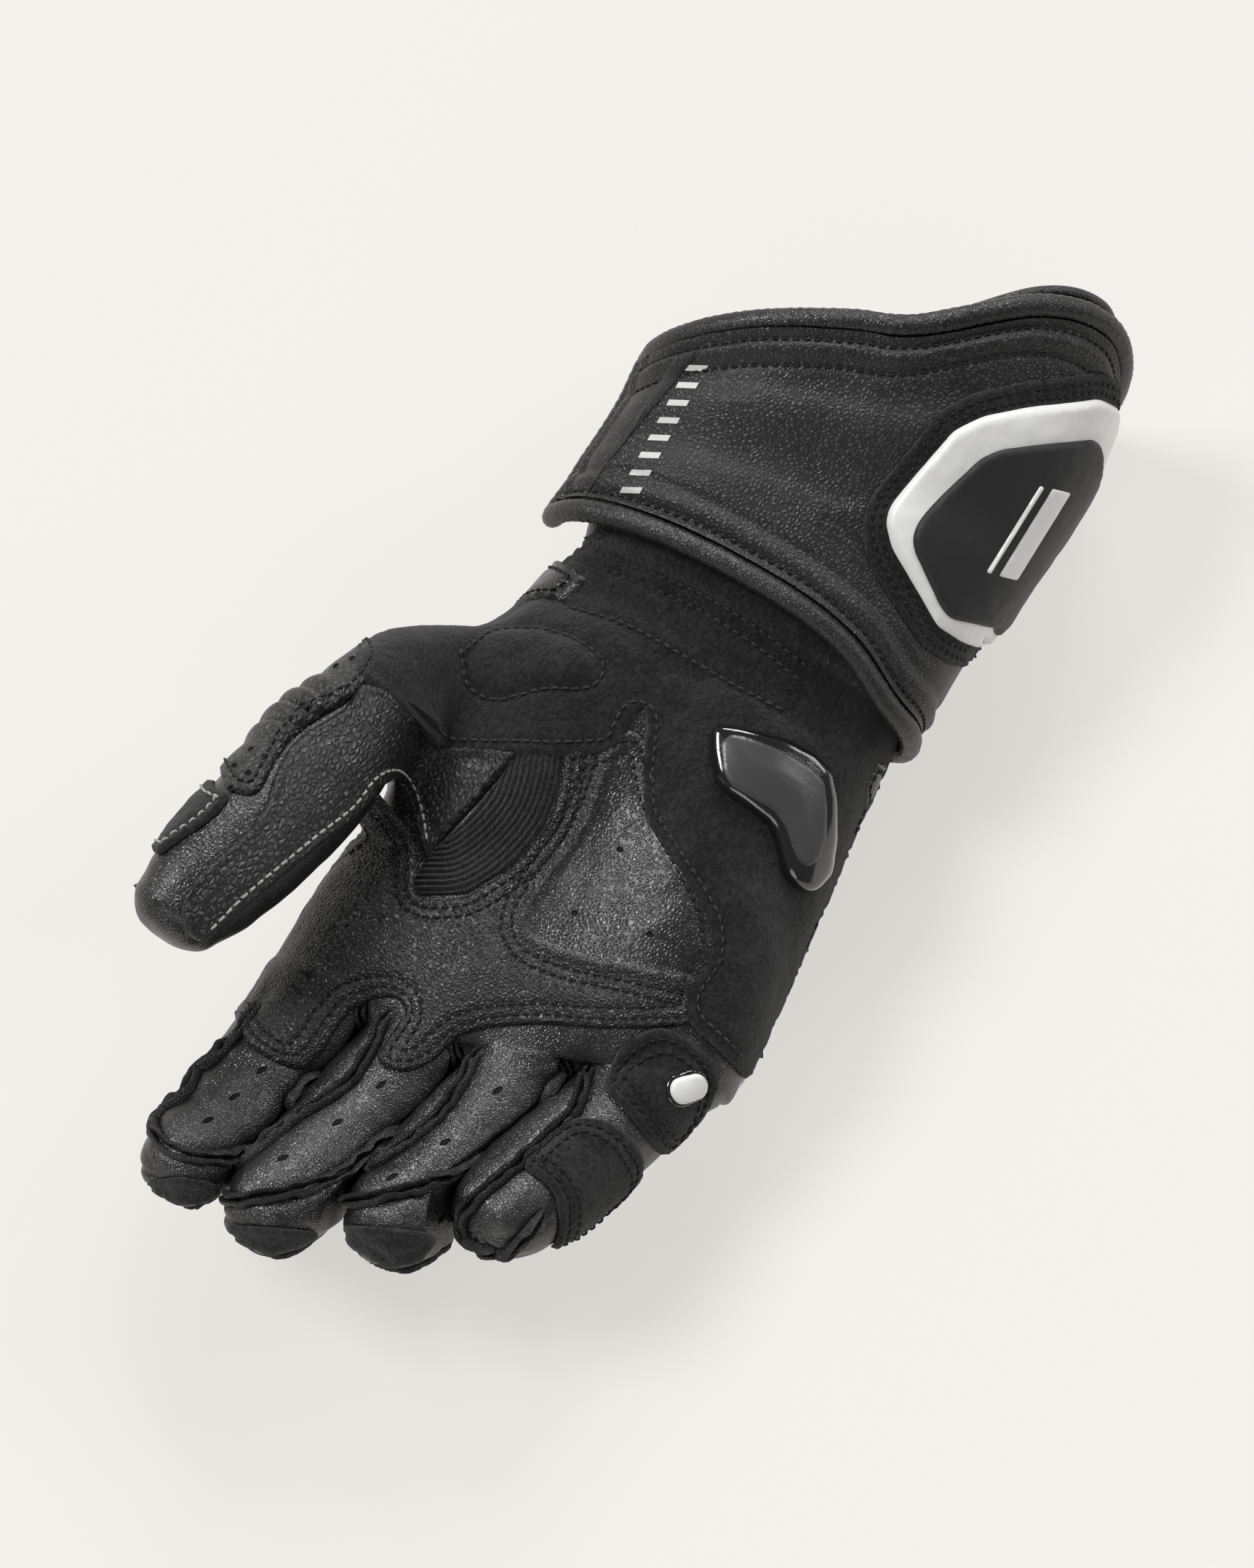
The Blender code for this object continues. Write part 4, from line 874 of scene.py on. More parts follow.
SLIDER_PLACES = (
    (987, 1006), (1002, 994), (1037, 1000), (1094, 1015), (1132, 1035), (1151, 1059), (1156, 1094),
    (1153, 1151),
    (1144, 1199), (1125, 1222), (1109, 1228), (1092, 1216), (1082, 1199), (1073, 1157), (1063, 1136),
    (1046, 1121),
    (1004, 1092), (992, 1071), (987, 1037),
)
SLIDER_SHIFT = 12
FACE_PLACES = (
    (1003, 1021), (1017, 1009), (1040, 1014), (1094, 1035), (1128, 1056), (1145, 1075), (1149, 1113),
    (1148, 1151),
    (1140, 1180), (1125, 1192), (1111, 1186), (1102, 1167), (1092, 1136), (1075, 1113), (1017, 1080),
    (1006, 1059),
)
THUMB_FRONT_PLACES = (
    (497, 940), (530, 948), (567, 988), (601, 1022), (674, 1028), (716, 1032), (690, 1064), (650, 1110),
    (612, 1150), (590, 1190), (577, 1150), (569, 1110), (558, 1084), (544, 1068), (521, 1080), (492, 1119),
    (444, 1157), (394, 1198), (344, 1240), (298, 1282), (272, 1294), (252, 1280), (246, 1240), (271, 1203),
    (306, 1172), (345, 1137), (366, 1106), (372, 1080), (383, 1055), (399, 1028), (422, 1008), (473, 977),
)
THUMB_BACK_PLACES = (
    (492, 944), (465, 972), (416, 1002), (391, 1024), (375, 1053), (364, 1080), (350, 1094), (318, 1088),
    (285, 1084), (0.54, 190), (0.54, 238), (0.30, 238), (0.05, 232), (0.03, 180), (500, 912),
)
THUMB_SUEDE_PLACES = (
    (322, 1094), (300, 1120), (262, 1148), (224, 1174), (192, 1206), (0.80, 200), (0.78, 240), (0.62, 244),
    (0.54, 240), (0.54, 195), (262, 1090), (300, 1086),
)
WHITE_PLACES = (
    (1208, 728), (1213, 708), (1300, 602), (1341, 582), (1408, 567), (1500, 552), (1528, 560), (1537, 580),
    (0.83, -8), (0.76, -18), (0.58, -27), (0.40, -27), (0.30, -18), (1356, 880), (1342, 886), (1312, 883),
    (1279, 865), (1216, 762),
)
INSET_PLACES = (
    (1247, 746), (1256, 726), (1341, 639), (1368, 627), (1448, 616), (1499, 609), (1511, 618), (0.70, -4),
    (0.54, -16), (0.40, -16), (0.30, -4), (1364, 864), (1338, 862), (1300, 856), (1284, 838), (1250, 766),
)
GRIP_PLACES = ((804, 684), (832, 696), (966, 480), (928, 493))
STRIPE_PLACES = ((1447, 672), (1472, 678), (1398, 798), (1373, 792))
LINE_PLACES = ((1430, 668), (1436, 670), (1362, 789), (1356, 787))

# Steps between a panel's points, and thicknesses of its sheet, in metres
PATCH_STEP = 0.0009
SUEDE_THICKNESS = 0.0015
OVERLAY_THICKNESS = 0.0013
THUMB_THICKNESS = 0.0014
STRAP_THICKNESS = 0.0020
GUARD_EDGE = 0.0024
PRINT_THICKNESS = 0.0006

# Lines on the palm side, in pixels of the photograph
PAD_PLACES = (
    (640, 905), (680, 872), (745, 868), (800, 885), (832, 918), (812, 948), (750, 950), (690, 965),
    (648, 950),
    (640, 905),
)
FOLD_PLACES = (
    ((770, 800), (850, 830), (930, 868), (1010, 915), (1090, 965)),
    ((655, 835), (740, 828), (830, 850), (900, 895), (960, 935)),
    ((880, 960), (905, 925), (960, 920), (1040, 960), (1120, 1010)),
)
FOLD_DEPTHS = (0.0016, 0.0011, 0.0010)
WRIST_ROW_PLACES = (
    ((806, 758), (870, 782), (960, 818), (1040, 866), (1104, 916)),
    ((796, 774), (862, 798), (950, 836), (1030, 884), (1094, 934)),
    ((790, 838), (856, 858), (925, 894), (1000, 938), (1070, 975)),
)
HILL_PLACES = ((1020, 1240), (1045, 1320), (1005, 1415))
TRIANGLE_SEAM = (
    (840, 1035), (812, 1120), (775, 1180), (735, 1235), (718, 1272), (735, 1298), (790, 1318), (860, 1332),
    (950, 1352),
)
TRIANGLE_SIDE = ((1010, 1345), (1010, 1270), (965, 1180), (910, 1090), (900, 1000), (862, 1000))
EYELET_PLACES = ((852, 1168), (790, 1255), (893, 1284))
GUSSET_EDGE = ((772, 1035), (764, 1082), (744, 1134), (700, 1187), (640, 1227), (570, 1232))
RIB_PITCH = 0.00135
# Slits on the fingers and punched holes on the thumb, in pixels of the photograph
SLIT_PLACES = (
    ((360, 1471), (322, 1508), (286, 1540)),
    ((524, 1491), (464, 1543), (389, 1592)),
    ((684, 1499), (612, 1570), (539, 1618), (608, 1675)),
    ((700, 1611), (777, 1542), (842, 1469)),
)
HOLE_PLACES = (
    (300, 1075), (322, 1052), (345, 1030), (318, 1084), (341, 1062), (364, 1040), (300, 1098), (440, 925),
    (462, 915), (484, 905),
)

KNUCKLE_GUARD_OUTLINE = (
    (0.42, -0.24), (0.40, 0.02), (0.30, 0.17), (0.05, 0.20), (-0.20, 0.24), (-0.36, 0.28), (-0.43, 0.16),
    (-0.43, -0.02), (-0.30, -0.14), (-0.05, -0.20), (0.20, -0.28), (0.34, -0.32),
)
# Where the little rivet sits on the little finger's base: share of the finger's axis and angle
PILL_SHARE, PILL_ANGLE = -0.11, 39
PILL_LENGTH, PILL_WIDTH, PILL_TURN = 0.0082, 0.0048, 20
PILL_SIDES = 48

# Outlines round a finger or the wrist, as (share of its axis, angle from the little-finger side)
LITTLE_BASE_OUTLINE = (
    (0.13, 88), (0.03, 101), (-0.11, 93), (-0.19, 85), (-0.24, 67), (-0.265, 41), (-0.22, 15), (-0.12, -10),
    (0.00, -22), (0.08, -14), (0.12, 20), (0.13, 58),
)
LITTLE_TIP_OUTLINE = (
    (0.68, 82), (0.58, 92), (0.37, 91), (0.29, 84), (0.20, 60), (0.17, 28), (0.17, -5), (0.24, -32),
    (0.45, -45), (0.66, -40), (0.66, 2), (0.63, 36),
)
FINGERTIP_OUTLINE = (
    (0.50, -130), (0.50, -90), (0.50, -50), (0.70, -45), (0.86, -50), (0.86, -90), (0.86, -130),
    (0.70, -135),
)
# Where the fingertips' suede shows past the tips, in pixels of the photograph
TIP_PLACES = {
    "index": ((192, 1634), (210, 1622), (250, 1617), (296, 1626), (304, 1640), (290, 1672), (240, 1680),
              (196, 1660)),
    "middle": ((296, 1692), (330, 1684), (390, 1688), (436, 1692), (444, 1704), (425, 1740), (370, 1745),
               (306, 1722)),
    "ring": ((438, 1692), (480, 1684), (540, 1688), (590, 1694), (600, 1706), (585, 1752), (530, 1762),
             (450, 1728)),
}
STRAP_OUTLINE = ((0.76, 8), (0.95, 8), (0.95, -90), (0.95, -208), (0.76, -208), (0.76, -90))


# Panels laid on the hand

def line_distance(points, line):
    """The distance of flat points from an open flat line."""
    best = np.full(len(points), FAR)
    for a, b in zip(line[:-1], line[1:]):
        d = b - a
        t = np.clip(((points - a) @ d) / max(d @ d, 1e-12), 0, 1)
        best = np.minimum(best, np.linalg.norm(points - a - t[:, None] * d, axis=1))
    return best


def outline_distance(points, outline):
    return line_distance(points, np.vstack([outline, outline[:1]]))


def within(points, outline):
    hit = np.zeros(len(points), dtype=bool)
    for a, b in zip(outline, np.roll(outline, -1, axis=0)):
        if a[1] == b[1]:
            continue
        crosses = (a[1] > points[:, 1]) != (b[1] > points[:, 1])
        hit ^= crosses & (points[:, 0] < a[0] + (points[:, 1] - a[1]) / (b[1] - a[1]) * (b[0] - a[0]))
    return hit


def rounded(outline, rounds=2):
    outline = np.asarray(outline, dtype=float)
    for _ in range(rounds):
        after = np.roll(outline, -1, axis=0)
        cut = [outline * 0.75 + after * 0.25, outline * 0.25 + after * 0.75]
        outline = np.stack(cut, axis=1).reshape(-1, 2)
    return outline


def ring_even(outline, step):
    """A closed outline with its points an equal distance apart."""
    return even(np.vstack([outline, outline[:1]]), step)[:-1]


# Height of an even triangle of side 1
ROW_SHARE = 0.866


def filled(outline, step, rings=()):
    """Triangles that fill an outline, evenly, with edges along it and along closed rings inside it."""
    low, high = outline.min(axis=0), outline.max(axis=0)
    row_step = step * ROW_SHARE
    rows = int((high[1] - low[1]) / row_step) + 2
    columns = int((high[0] - low[0]) / step) + 2
    r, c = np.meshgrid(np.arange(rows), np.arange(columns), indexing="ij")
    grid = np.stack([low[0] + (c + 0.5 * (r % 2)) * step, low[1] + r * row_step], axis=-1).reshape(-1, 2)
    grid = grid[within(grid, outline)]
    grid = grid[outline_distance(grid, outline) > 0.5 * step]
    for ring in rings:
        grid = grid[outline_distance(grid, ring) > 0.4 * step]
    edges, first = [], 0
    for ring in (outline, *rings):
        edges += [(first + k, first + (k + 1) % len(ring)) for k in range(len(ring))]
        first += len(ring)
    points = np.vstack([outline, *rings, grid])
    made, _, faces, _, _, _ = delaunay_2d_cdt([Vector(p) for p in points], edges, [], 1, 1e-8)
    return np.array([tuple(p) for p in made]), np.array([tuple(f) for f in faces])


class BackLay:
    """Lays flat (across, along) places on the back of the hand, looking up from below."""

    out = Vector((0, 0, -1))

    def __init__(self, tree):
        self.tree = tree

    def cast(self, p, tree):
        start = Vector((-p[0], p[1], -LOOK_FROM))
        return start, *tree.ray_cast(start, -self.out)[:2]

    def at(self, p, tree=None):
        tree = tree or self.tree
        start, hit, normal = self.cast(p, tree)
        if hit is None:
            hit, normal, _, _ = tree.find_nearest(start - self.out * 0.9 * LOOK_FROM)
        if normal.dot(self.out) < 0:
            normal = -normal
        return hit, (normal * 0.6 + self.out * 0.4).normalized()

    def faces_out(self, p):
        _, hit, normal = self.cast(p, self.tree)
        return hit is not None and abs(normal.dot(self.out)) > 0.36

    def outline(self, shares, step):
        corners = np.array(shares) * (PALM_WIDTH, PALM_LENGTH)
        smooth = ring_even(rounded(corners), step)
        middle = smooth[:, 0].mean()
        for p in smooth:
            inward = 0.0004 if p[0] < middle else -0.0004
            while not self.faces_out(p) and abs(p[0] - middle) > 0.001:
                p[0] += inward
        return ring_even(smooth, step)


class WrapLay:
    """Lays flat (length along an axis, length round it) places on what surrounds the axis."""

    def __init__(self, tree, frames, radius, reach=LOOK_FROM_AXIS, low=-180):
        self.tree, self.frames, self.radius, self.reach, self.low = tree, frames, radius, reach, low
        self.length = sum((b.centre - a.centre).length for a, b in zip(frames, frames[1:]))

    def at(self, p, tree=None):
        tree = tree or self.tree
        stops = len(self.frames) - 1
        along = min(max(p[0] / self.length * stops, -1.5), stops + 0.5)
        k = min(max(int(along), 0), stops - 1)
        a, b = self.frames[k], self.frames[k + 1]
        t = along - k
        angle = p[1] / self.radius
        axis = mix(a.centre, b.centre, t)
        out = (mix(a.side, b.side, t) * cos(angle) + mix(a.lift, b.lift, t) * sin(angle)).normalized()
        hit, normal, _, _ = tree.ray_cast(axis + out * self.reach, -out)
        if hit is None:
            hit, normal, _, _ = tree.find_nearest(axis + out * self.radius)
        if normal.dot(out) < 0:
            normal = -normal
        return hit, (normal * 0.6 + out * 0.4).normalized()

    def flat(self, points):
        stops = len(self.frames) - 1
        _, share, angle = axis_places(self.frames, points)
        for end, sign in ((0, -1), (stops, 1)):
            a, b = (self.frames[0], self.frames[1]) if end == 0 else (self.frames[-2], self.frames[-1])
            d = b.centre - a.centre
            t = (points - np.array(a.centre)) @ np.array(d) / d.length_squared
            past = t < 0 if end == 0 else t > 1
            share = np.where(past, (t if end == 0 else t + stops - 1) / stops, share)
        angle = np.where(angle < self.low, angle + 360, angle)
        return np.stack([share * self.length, np.radians(angle) * self.radius], axis=1)

    def outline(self, shares, step, rounds=2):
        corners = np.array([(share * self.length, radians(angle) * self.radius) for share, angle in shares])
        return ring_even(rounded(corners, rounds), step)


class PhotoLay:
    """Lays places of the photograph, in metres from its corner, on what the camera sees."""

    def __init__(self, tree):
        self.tree = tree

    def at(self, p, tree=None):
        hit, normal, ray = seen_at(tree or self.tree, p[0] * PIXELS_PER_METRE, p[1] * PIXELS_PER_METRE)
        return hit, (normal * 0.7 - ray * 0.3).normalized()

    def sees(self, p):
        ray = look(p[0] * PIXELS_PER_METRE, p[1] * PIXELS_PER_METRE)
        hit, normal, _, _ = self.tree.ray_cast(EYE, ray)
        return hit is not None and abs(normal.dot(ray)) > 0.10

    def flat(self, points):
        off = np.asarray(points) - np.array(EYE)
        scale = DISTANCE / (off @ -np.array(BACK))
        x = PHOTO_WIDTH / 2 / PIXELS_PER_METRE + off @ np.array(RIGHT) * scale
        y = PHOTO_HEIGHT / 2 / PIXELS_PER_METRE - off @ np.array(UP) * scale
        return np.stack([x, y], axis=1)


# A place is in pixels of the photograph where its first number is above this
PIXELS_ABOVE = 10
# How far an outline is drawn in at a time where the camera doesn't see it
PULL = 0.0003
# How deep below the hand the fan's axis lies, and how far away its looks start
FAN_DEPTH, FAN_REACH = 0.050, 0.25
HAND_MIDDLE = -0.075 * PALM_WIDTH


def traced(lay, places, step, passes=3):
    """A closed flat outline through places: pixels of the photograph, or a lay's own (share, angle)."""
    camera = PhotoLay(lay.tree)
    flat = []
    for a, b in places:
        if a > PIXELS_ABOVE:
            spot, _ = camera.at((a / PIXELS_PER_METRE, b / PIXELS_PER_METRE))
            flat.append(lay.flat(np.array([tuple(spot)]))[0])
        else:
            flat.append(np.array((a * lay.length, radians(b) * lay.radius)))
    ring = ring_even(np.array(flat), step)
    for _ in range(passes):
        ring = (np.roll(ring, 1, axis=0) + ring * 2 + np.roll(ring, -1, axis=0)) / 4
    if isinstance(lay, PhotoLay):
        middle = ring.mean(axis=0)
        for p in ring:
            while not lay.sees(p) and np.linalg.norm(middle - p) > 2 * PULL:
                p += unit(middle - p) * PULL
    return ring_even(ring, step)


def straight_axis(x, place):
    """Three frames along the glove, at the (y, z) that place gives for each share."""
    side, lift = Vector((1, 0, 0)), Vector((0, 0, 1))
    return [Frame(Vector((x, *place(share))), side, lift) for share in (0.0, 0.5, 1.0)]


def fan(tree):
    """Lays (share of the palm's length, angle) on the hand, as seen from an axis deep below it."""
    axis = straight_axis(HAND_MIDDLE, lambda share: (share * PALM_LENGTH, -FAN_DEPTH))
    return WrapLay(tree, axis, FAN_DEPTH + 0.045, reach=FAN_REACH)


def evened(points, faces, fixed, passes):
    """Relaxes points towards the mean of their neighbours."""
    pairs = np.vstack([faces[:, [0, 1]], faces[:, [1, 2]], faces[:, [2, 0]]])
    pairs = np.vstack([pairs, pairs[:, ::-1]])
    count = np.zeros(len(points))
    np.add.at(count, pairs[:, 0], 1)
    for _ in range(passes):
        total = np.zeros_like(points)
        np.add.at(total, pairs[:, 0], points[pairs[:, 1]])
        mean = total / np.maximum(count, 1)[:, None]
        points = np.where(fixed[:, None], points, points * 0.5 + mean * 0.5)
    return points


class Panel:
    """A thin closed piece laid over what is below it, which keeps its flat plan for seams and stitches."""

    def __init__(self, name, lay, outline, step, thickness, materials, slot, gap=0.0003, edge=0.0010,
                 relief=None, kind=None, replaced=(), calm=2, sharp=60, rings=()):
        self.lay, self.outline = lay, outline
        flat, faces = filled(outline, step, rings)
        found = [lay.at(p) for p in flat]
        hits = np.array([tuple(h) for h, _ in found])
        outs = np.array([tuple(n) for _, n in found])
        inset = outline_distance(flat, outline)
        rim = inset < 1e-6
        none = np.zeros(len(flat), dtype=bool)
        outs = unit(evened(outs, faces, none, 3))
        calmed = evened(hits, faces, rim, calm)
        hits = hits + outs * np.maximum(((calmed - hits) * outs).sum(1), -gap * 0.5)[:, None]
        t = np.clip(inset / edge, 0, 1)
        rise = thickness * (0.28 + 0.72 * np.sqrt(np.clip(1 - (1 - t) ** 2, 0, 1)))
        if relief is not None:
            rise = np.maximum(rise + relief(flat, inset, hits) * t, 0.12 * thickness)
        low = hits + outs * gap
        high = low + outs * rise[:, None]
        high[:, 2] = np.maximum(high[:, 2], 0)
        count = len(flat)
        a, b, c = (high[faces[:, k]] for k in range(3))
        if (np.cross(b - a, c - a) * outs[faces[:, 0]]).sum() < 0:
            faces = faces[:, ::-1]
        tops = [tuple(f) for f in faces]
        edges = {pair for f in tops for pair in zip(f, f[1:] + f[:1])}
        rims = sorted((a, b) for a, b in edges if (b, a) not in edges)
        sides = [(b, a, a + count, b + count) for a, b in rims]
        bottoms = [tuple(i + count for i in f[::-1]) for f in tops]
        kinds = np.zeros(len(tops), dtype=int)
        if kind is not None:
            kinds = kind(flat[faces].mean(axis=1))
        everything = list(kinds) + [0] * (len(bottoms) + len(sides))
        self.obj = add_piece(name, np.vstack([high, low]), tops + bottoms + sides, materials, slot,
                             kinds=everything, replaced=replaced, sharp=sharp)
        self.tree = tree_from(high, tops)

    def lay_line(self, line, lift=0.0):
        """A flat line laid on top of the panel, with its normals."""
        spots, outs = [], []
        for p in line:
            hit, normal = self.lay.at(p, self.tree)
            spots.append(tuple(hit + normal * lift))
            outs.append(tuple(normal))
        return relaxed(np.array(spots), 1), unit(relaxed(np.array(outs), 2))

    def inset(self, depth):
        """Lines that run inside the outline at a depth."""
        ring = self.outline
        ahead = np.roll(ring, -1, axis=0) - np.roll(ring, 1, axis=0)
        area = (ring[:, 0] * np.roll(ring[:, 1], -1) - ring[:, 1] * np.roll(ring[:, 0], -1)).sum()
        inward = unit(np.stack([-ahead[:, 1], ahead[:, 0]], axis=1)) * (1 if area > 0 else -1)
        moved = ring + inward * depth
        good = (outline_distance(moved, ring) > 0.93 * depth) & within(moved, ring)
        n = len(ring)
        runs, run = [], []
        for k in range(n + 1):
            if good[k % n] and (not run or np.linalg.norm(moved[k % n] - run[-1]) < 0.006):
                run.append(moved[k % n])
            elif run and not good[k % n]:
                continue
            else:
                if len(run) > 5:
                    runs.append(np.array(run))
                run = [moved[k % n]] if good[k % n] else []
        if len(run) > 5:
            runs.append(np.array(run))
        return [even(relaxed(r, 3), LINE_STEP) for r in runs]

    def sew(self, heap, depth, seen=-1.0):
        """Stitches inside the outline at a depth, where the panel faces the camera at least so much."""
        for line in self.inset(depth):
            spots, outs = self.lay_line(line, 0.00008)
            faces = outs @ np.array(BACK) > seen
            for run in np.split(np.arange(len(faces)), np.nonzero(np.diff(faces))[0] + 1):
                if faces[run[0]] and len(run) > 6:
                    stitch_row(heap, spots[run], outs[run])


def groove(distance, depth, width):
    """The relief of a sewn groove at these distances from its line."""
    return -depth * np.exp(-(distance / width) ** 2)


def flat_line(lay, tree, pixels):
    """A line traced on the photograph, in a panel's flat plan."""
    line, _ = trace(tree, pixels)
    return relaxed(lay.flat(line), 2)


# The seams round the fingers' palm sides, in pixels of the photograph
SEAMS = {
    "index": ((352, 1345), (315, 1400), (280, 1455), (258, 1500), (225, 1526), (212, 1546), (222, 1572),
              (255, 1588),
              (300, 1590), (345, 1580), (400, 1545), (440, 1505), (470, 1465), (498, 1418), (510, 1385)),
    "middle": ((532, 1385), (512, 1440), (472, 1495), (420, 1528), (360, 1575), (318, 1618), (305, 1637),
               (320, 1650),
               (350, 1647), (410, 1637), (445, 1624), (487, 1600), (532, 1560), (587, 1525), (625, 1462),
               (645, 1438)),
    "ring": ((655, 1440), (640, 1480), (600, 1535), (545, 1580), (495, 1612), (458, 1640), (460, 1655),
             (492, 1652),
             (560, 1637), (612, 1620), (662, 1590), (715, 1556), (748, 1508), (778, 1462), (796, 1450)),
    "little": ((812, 1455), (800, 1500), (780, 1540), (712, 1600), (655, 1648), (634, 1678), (645, 1708),
               (685, 1726),
               (708, 1715), (732, 1686), (758, 1664)),
}
THUMB_INNER_SEAM = ((586, 1150), (578, 1108), (564, 1074), (545, 1058), (516, 1070), (486, 1109), (438, 1147),
                    (388, 1188), (338, 1230), (294, 1274))
PALM_NUMBERS = (0, 6, 7, 8, 9)

cage, cage_faces, cage_parts, AXES = hand_cage()
SKIN, QUADS, NUMBERS = smooth_surface(cage, cage_faces, cage_parts, LEVELS)
part_fingers(SKIN, QUADS, NUMBERS, AXES)
BARE_NORMALS = surface_normals(SKIN, QUADS)


def quads_of(*numbers):
    return QUADS[np.isin(NUMBERS, numbers)]


def skin_tree(*numbers):
    faces = quads_of(*numbers)
    used, index = np.unique(faces, return_inverse=True)
    return tree_from(SKIN[used], index.reshape(faces.shape))


def vertices_of(*numbers):
    return np.unique(quads_of(*numbers))


def add_relief():
    """Swells the skin between its seams, presses it in along them and folds it at the joints."""
    lines = {}
    rise = np.zeros(len(SKIN))
    for f, finger in enumerate(FINGERS):
        lines[finger.name] = trace(skin_tree(f + 1, f + 6), SEAMS[finger.name])
        mine = vertices_of(f + 1, f + 6)
        d = nearest_distance(SKIN[mine], [lines[finger.name][0]])
        _, share, angle = axis_places(AXES[finger.name], SKIN[mine])
        rise[mine] += 0.0006 * (1 - np.exp(-(d / 0.0045) ** 2)) - groove(d, -0.0009, 0.0016)
        folds = np.sin(share * 46 + 2.5 * noisy(SKIN[mine], 90, 3.0))
        joint = np.exp(-((share - 0.30) / 0.10) ** 2) + np.exp(-((share - 0.62) / 0.08) ** 2)
        rise[mine] += 0.00016 * folds * joint
        pinch = np.clip((share - 0.72) / 0.2, 0, 1) * np.clip(-np.sin(np.radians(angle)) + 0.55, 0, 1)
        rise[mine] -= 0.0007 * pinch * np.abs(np.sin(np.radians(angle) * 4.5 + share * 5)) ** 6
    mine = vertices_of(5)
    _, share, _ = axis_places(AXES["thumb"], SKIN[mine])
    folds = np.sin(share * 38 + 3 * noisy(SKIN[mine], 80, 5.0))
    rise[mine] += 0.00035 * folds * np.clip(share * 2 - 1, 0, 1)
    rise += 0.00030 * noisy(SKIN, 75, 1.0) + 0.00012 * noisy(SKIN, 230, 2.0)
    return SKIN + BARE_NORMALS * rise[:, None], lines


# How far an open rim is drawn in, so that neighbouring parts don't share their edge
HAIRLINE = 0.00001
SKIN, LINES = add_relief()
NORMALS = surface_normals(SKIN, QUADS)


def shell(name, numbers, wall, materials, slot):
    """One sewn part of the hand: its outer skin, an inner skin a wall inside it, and the rims between."""
    mine = quads_of(*numbers)
    used, index = np.unique(mine, return_inverse=True)
    faces = [tuple(int(i) for i in q) for q in index.reshape(mine.shape)]
    edges = {pair for q in faces for pair in zip(q, q[1:] + q[:1])}
    rim = [(a, b) for a, b in edges if (b, a) not in edges]
    on_rim = {i for pair in rim for i in pair}
    outer = SKIN[used].copy()
    inward = np.zeros_like(outer)
    for q in faces:
        for v in q:
            if v in on_rim:
                inward[v] += outer[list(q)].mean(axis=0) - outer[v]
    outer += unit(inward) * HAIRLINE * (np.abs(inward).sum(axis=1) > 0)[:, None]
    inner = outer - BARE_NORMALS[used] * wall
    count = len(used)
    walls = [(b, a, a + count, b + count) for a, b in sorted(rim)]
    everything = faces + [tuple(i + count for i in q[::-1]) for q in faces] + walls
    obj = add_piece(name, np.vstack([outer, inner]), everything, materials, slot, replaced=(name,),
                    sharp=180)
    normals = np.vstack([NORMALS[used], -NORMALS[used]])
    obj.data.normals_split_custom_set_from_vertices([tuple(n) for n in normals])
    return obj


def build_hand():
    shell("palm_shell", PALM_NUMBERS, LEATHER, "fine", "leather").name = "palm_skin"
    for f, finger in enumerate(FINGERS):
        shell("finger_" + finger.name, (f + 1,), LEATHER, "fine", "leather").name = "skin_" + finger.name
    shell("thumb", (5,), LEATHER, "smooth", "leather").name = "skin_thumb"
    for f, finger in enumerate(FINGERS):
        heap = Heap()
        tree = skin_tree(f + 1, f + 6)
        line, normals = settle(tree, *LINES[finger.name])
        for side, seed in ((-1, 2.0 + f), (1, 7.0 + f)):
            sweep(heap, line, normals, round_section(0.0015, 0.0027, 0.22, 8, 0.004, 0.00055, 0.0028,
                                                     side * 0.00095, seed))
        # The seam lips' leather is lighter by a painted highlight.
        heap.piece("seam_" + finger.name, "edge", "leather")


def hand_and_sleeve():
    """The hand without its thumb, and the sleeve's wrist end, as one tree."""
    quads_hand = quads_of(*PALM_NUMBERS, 1, 2, 3, 4)
    angles, shares = np.linspace(0, 360, 121)[:-1], np.linspace(0, 0.4, 14)
    grid = np.array([tuple(cuff_point(a, s, 0.0)) for s in shares for a in angles])
    n = len(angles)
    quads = [(i * n + j, i * n + (j + 1) % n, (i + 1) * n + (j + 1) % n, (i + 1) * n + j)
             for i in range(len(shares) - 1) for j in range(n)]
    quads = [tuple(k + len(SKIN) for k in q) for q in quads]
    return tree_from(np.vstack([SKIN, grid]), [tuple(q) for q in quads_hand] + quads)


# How far from the triangle's seam its two stitch rows run
SEAM_ROWS = (0.0028, 0.0052)


def sew_rows(heap, panel, depths, seen=-1.0):
    for depth in depths:
        panel.sew(heap, depth, seen)


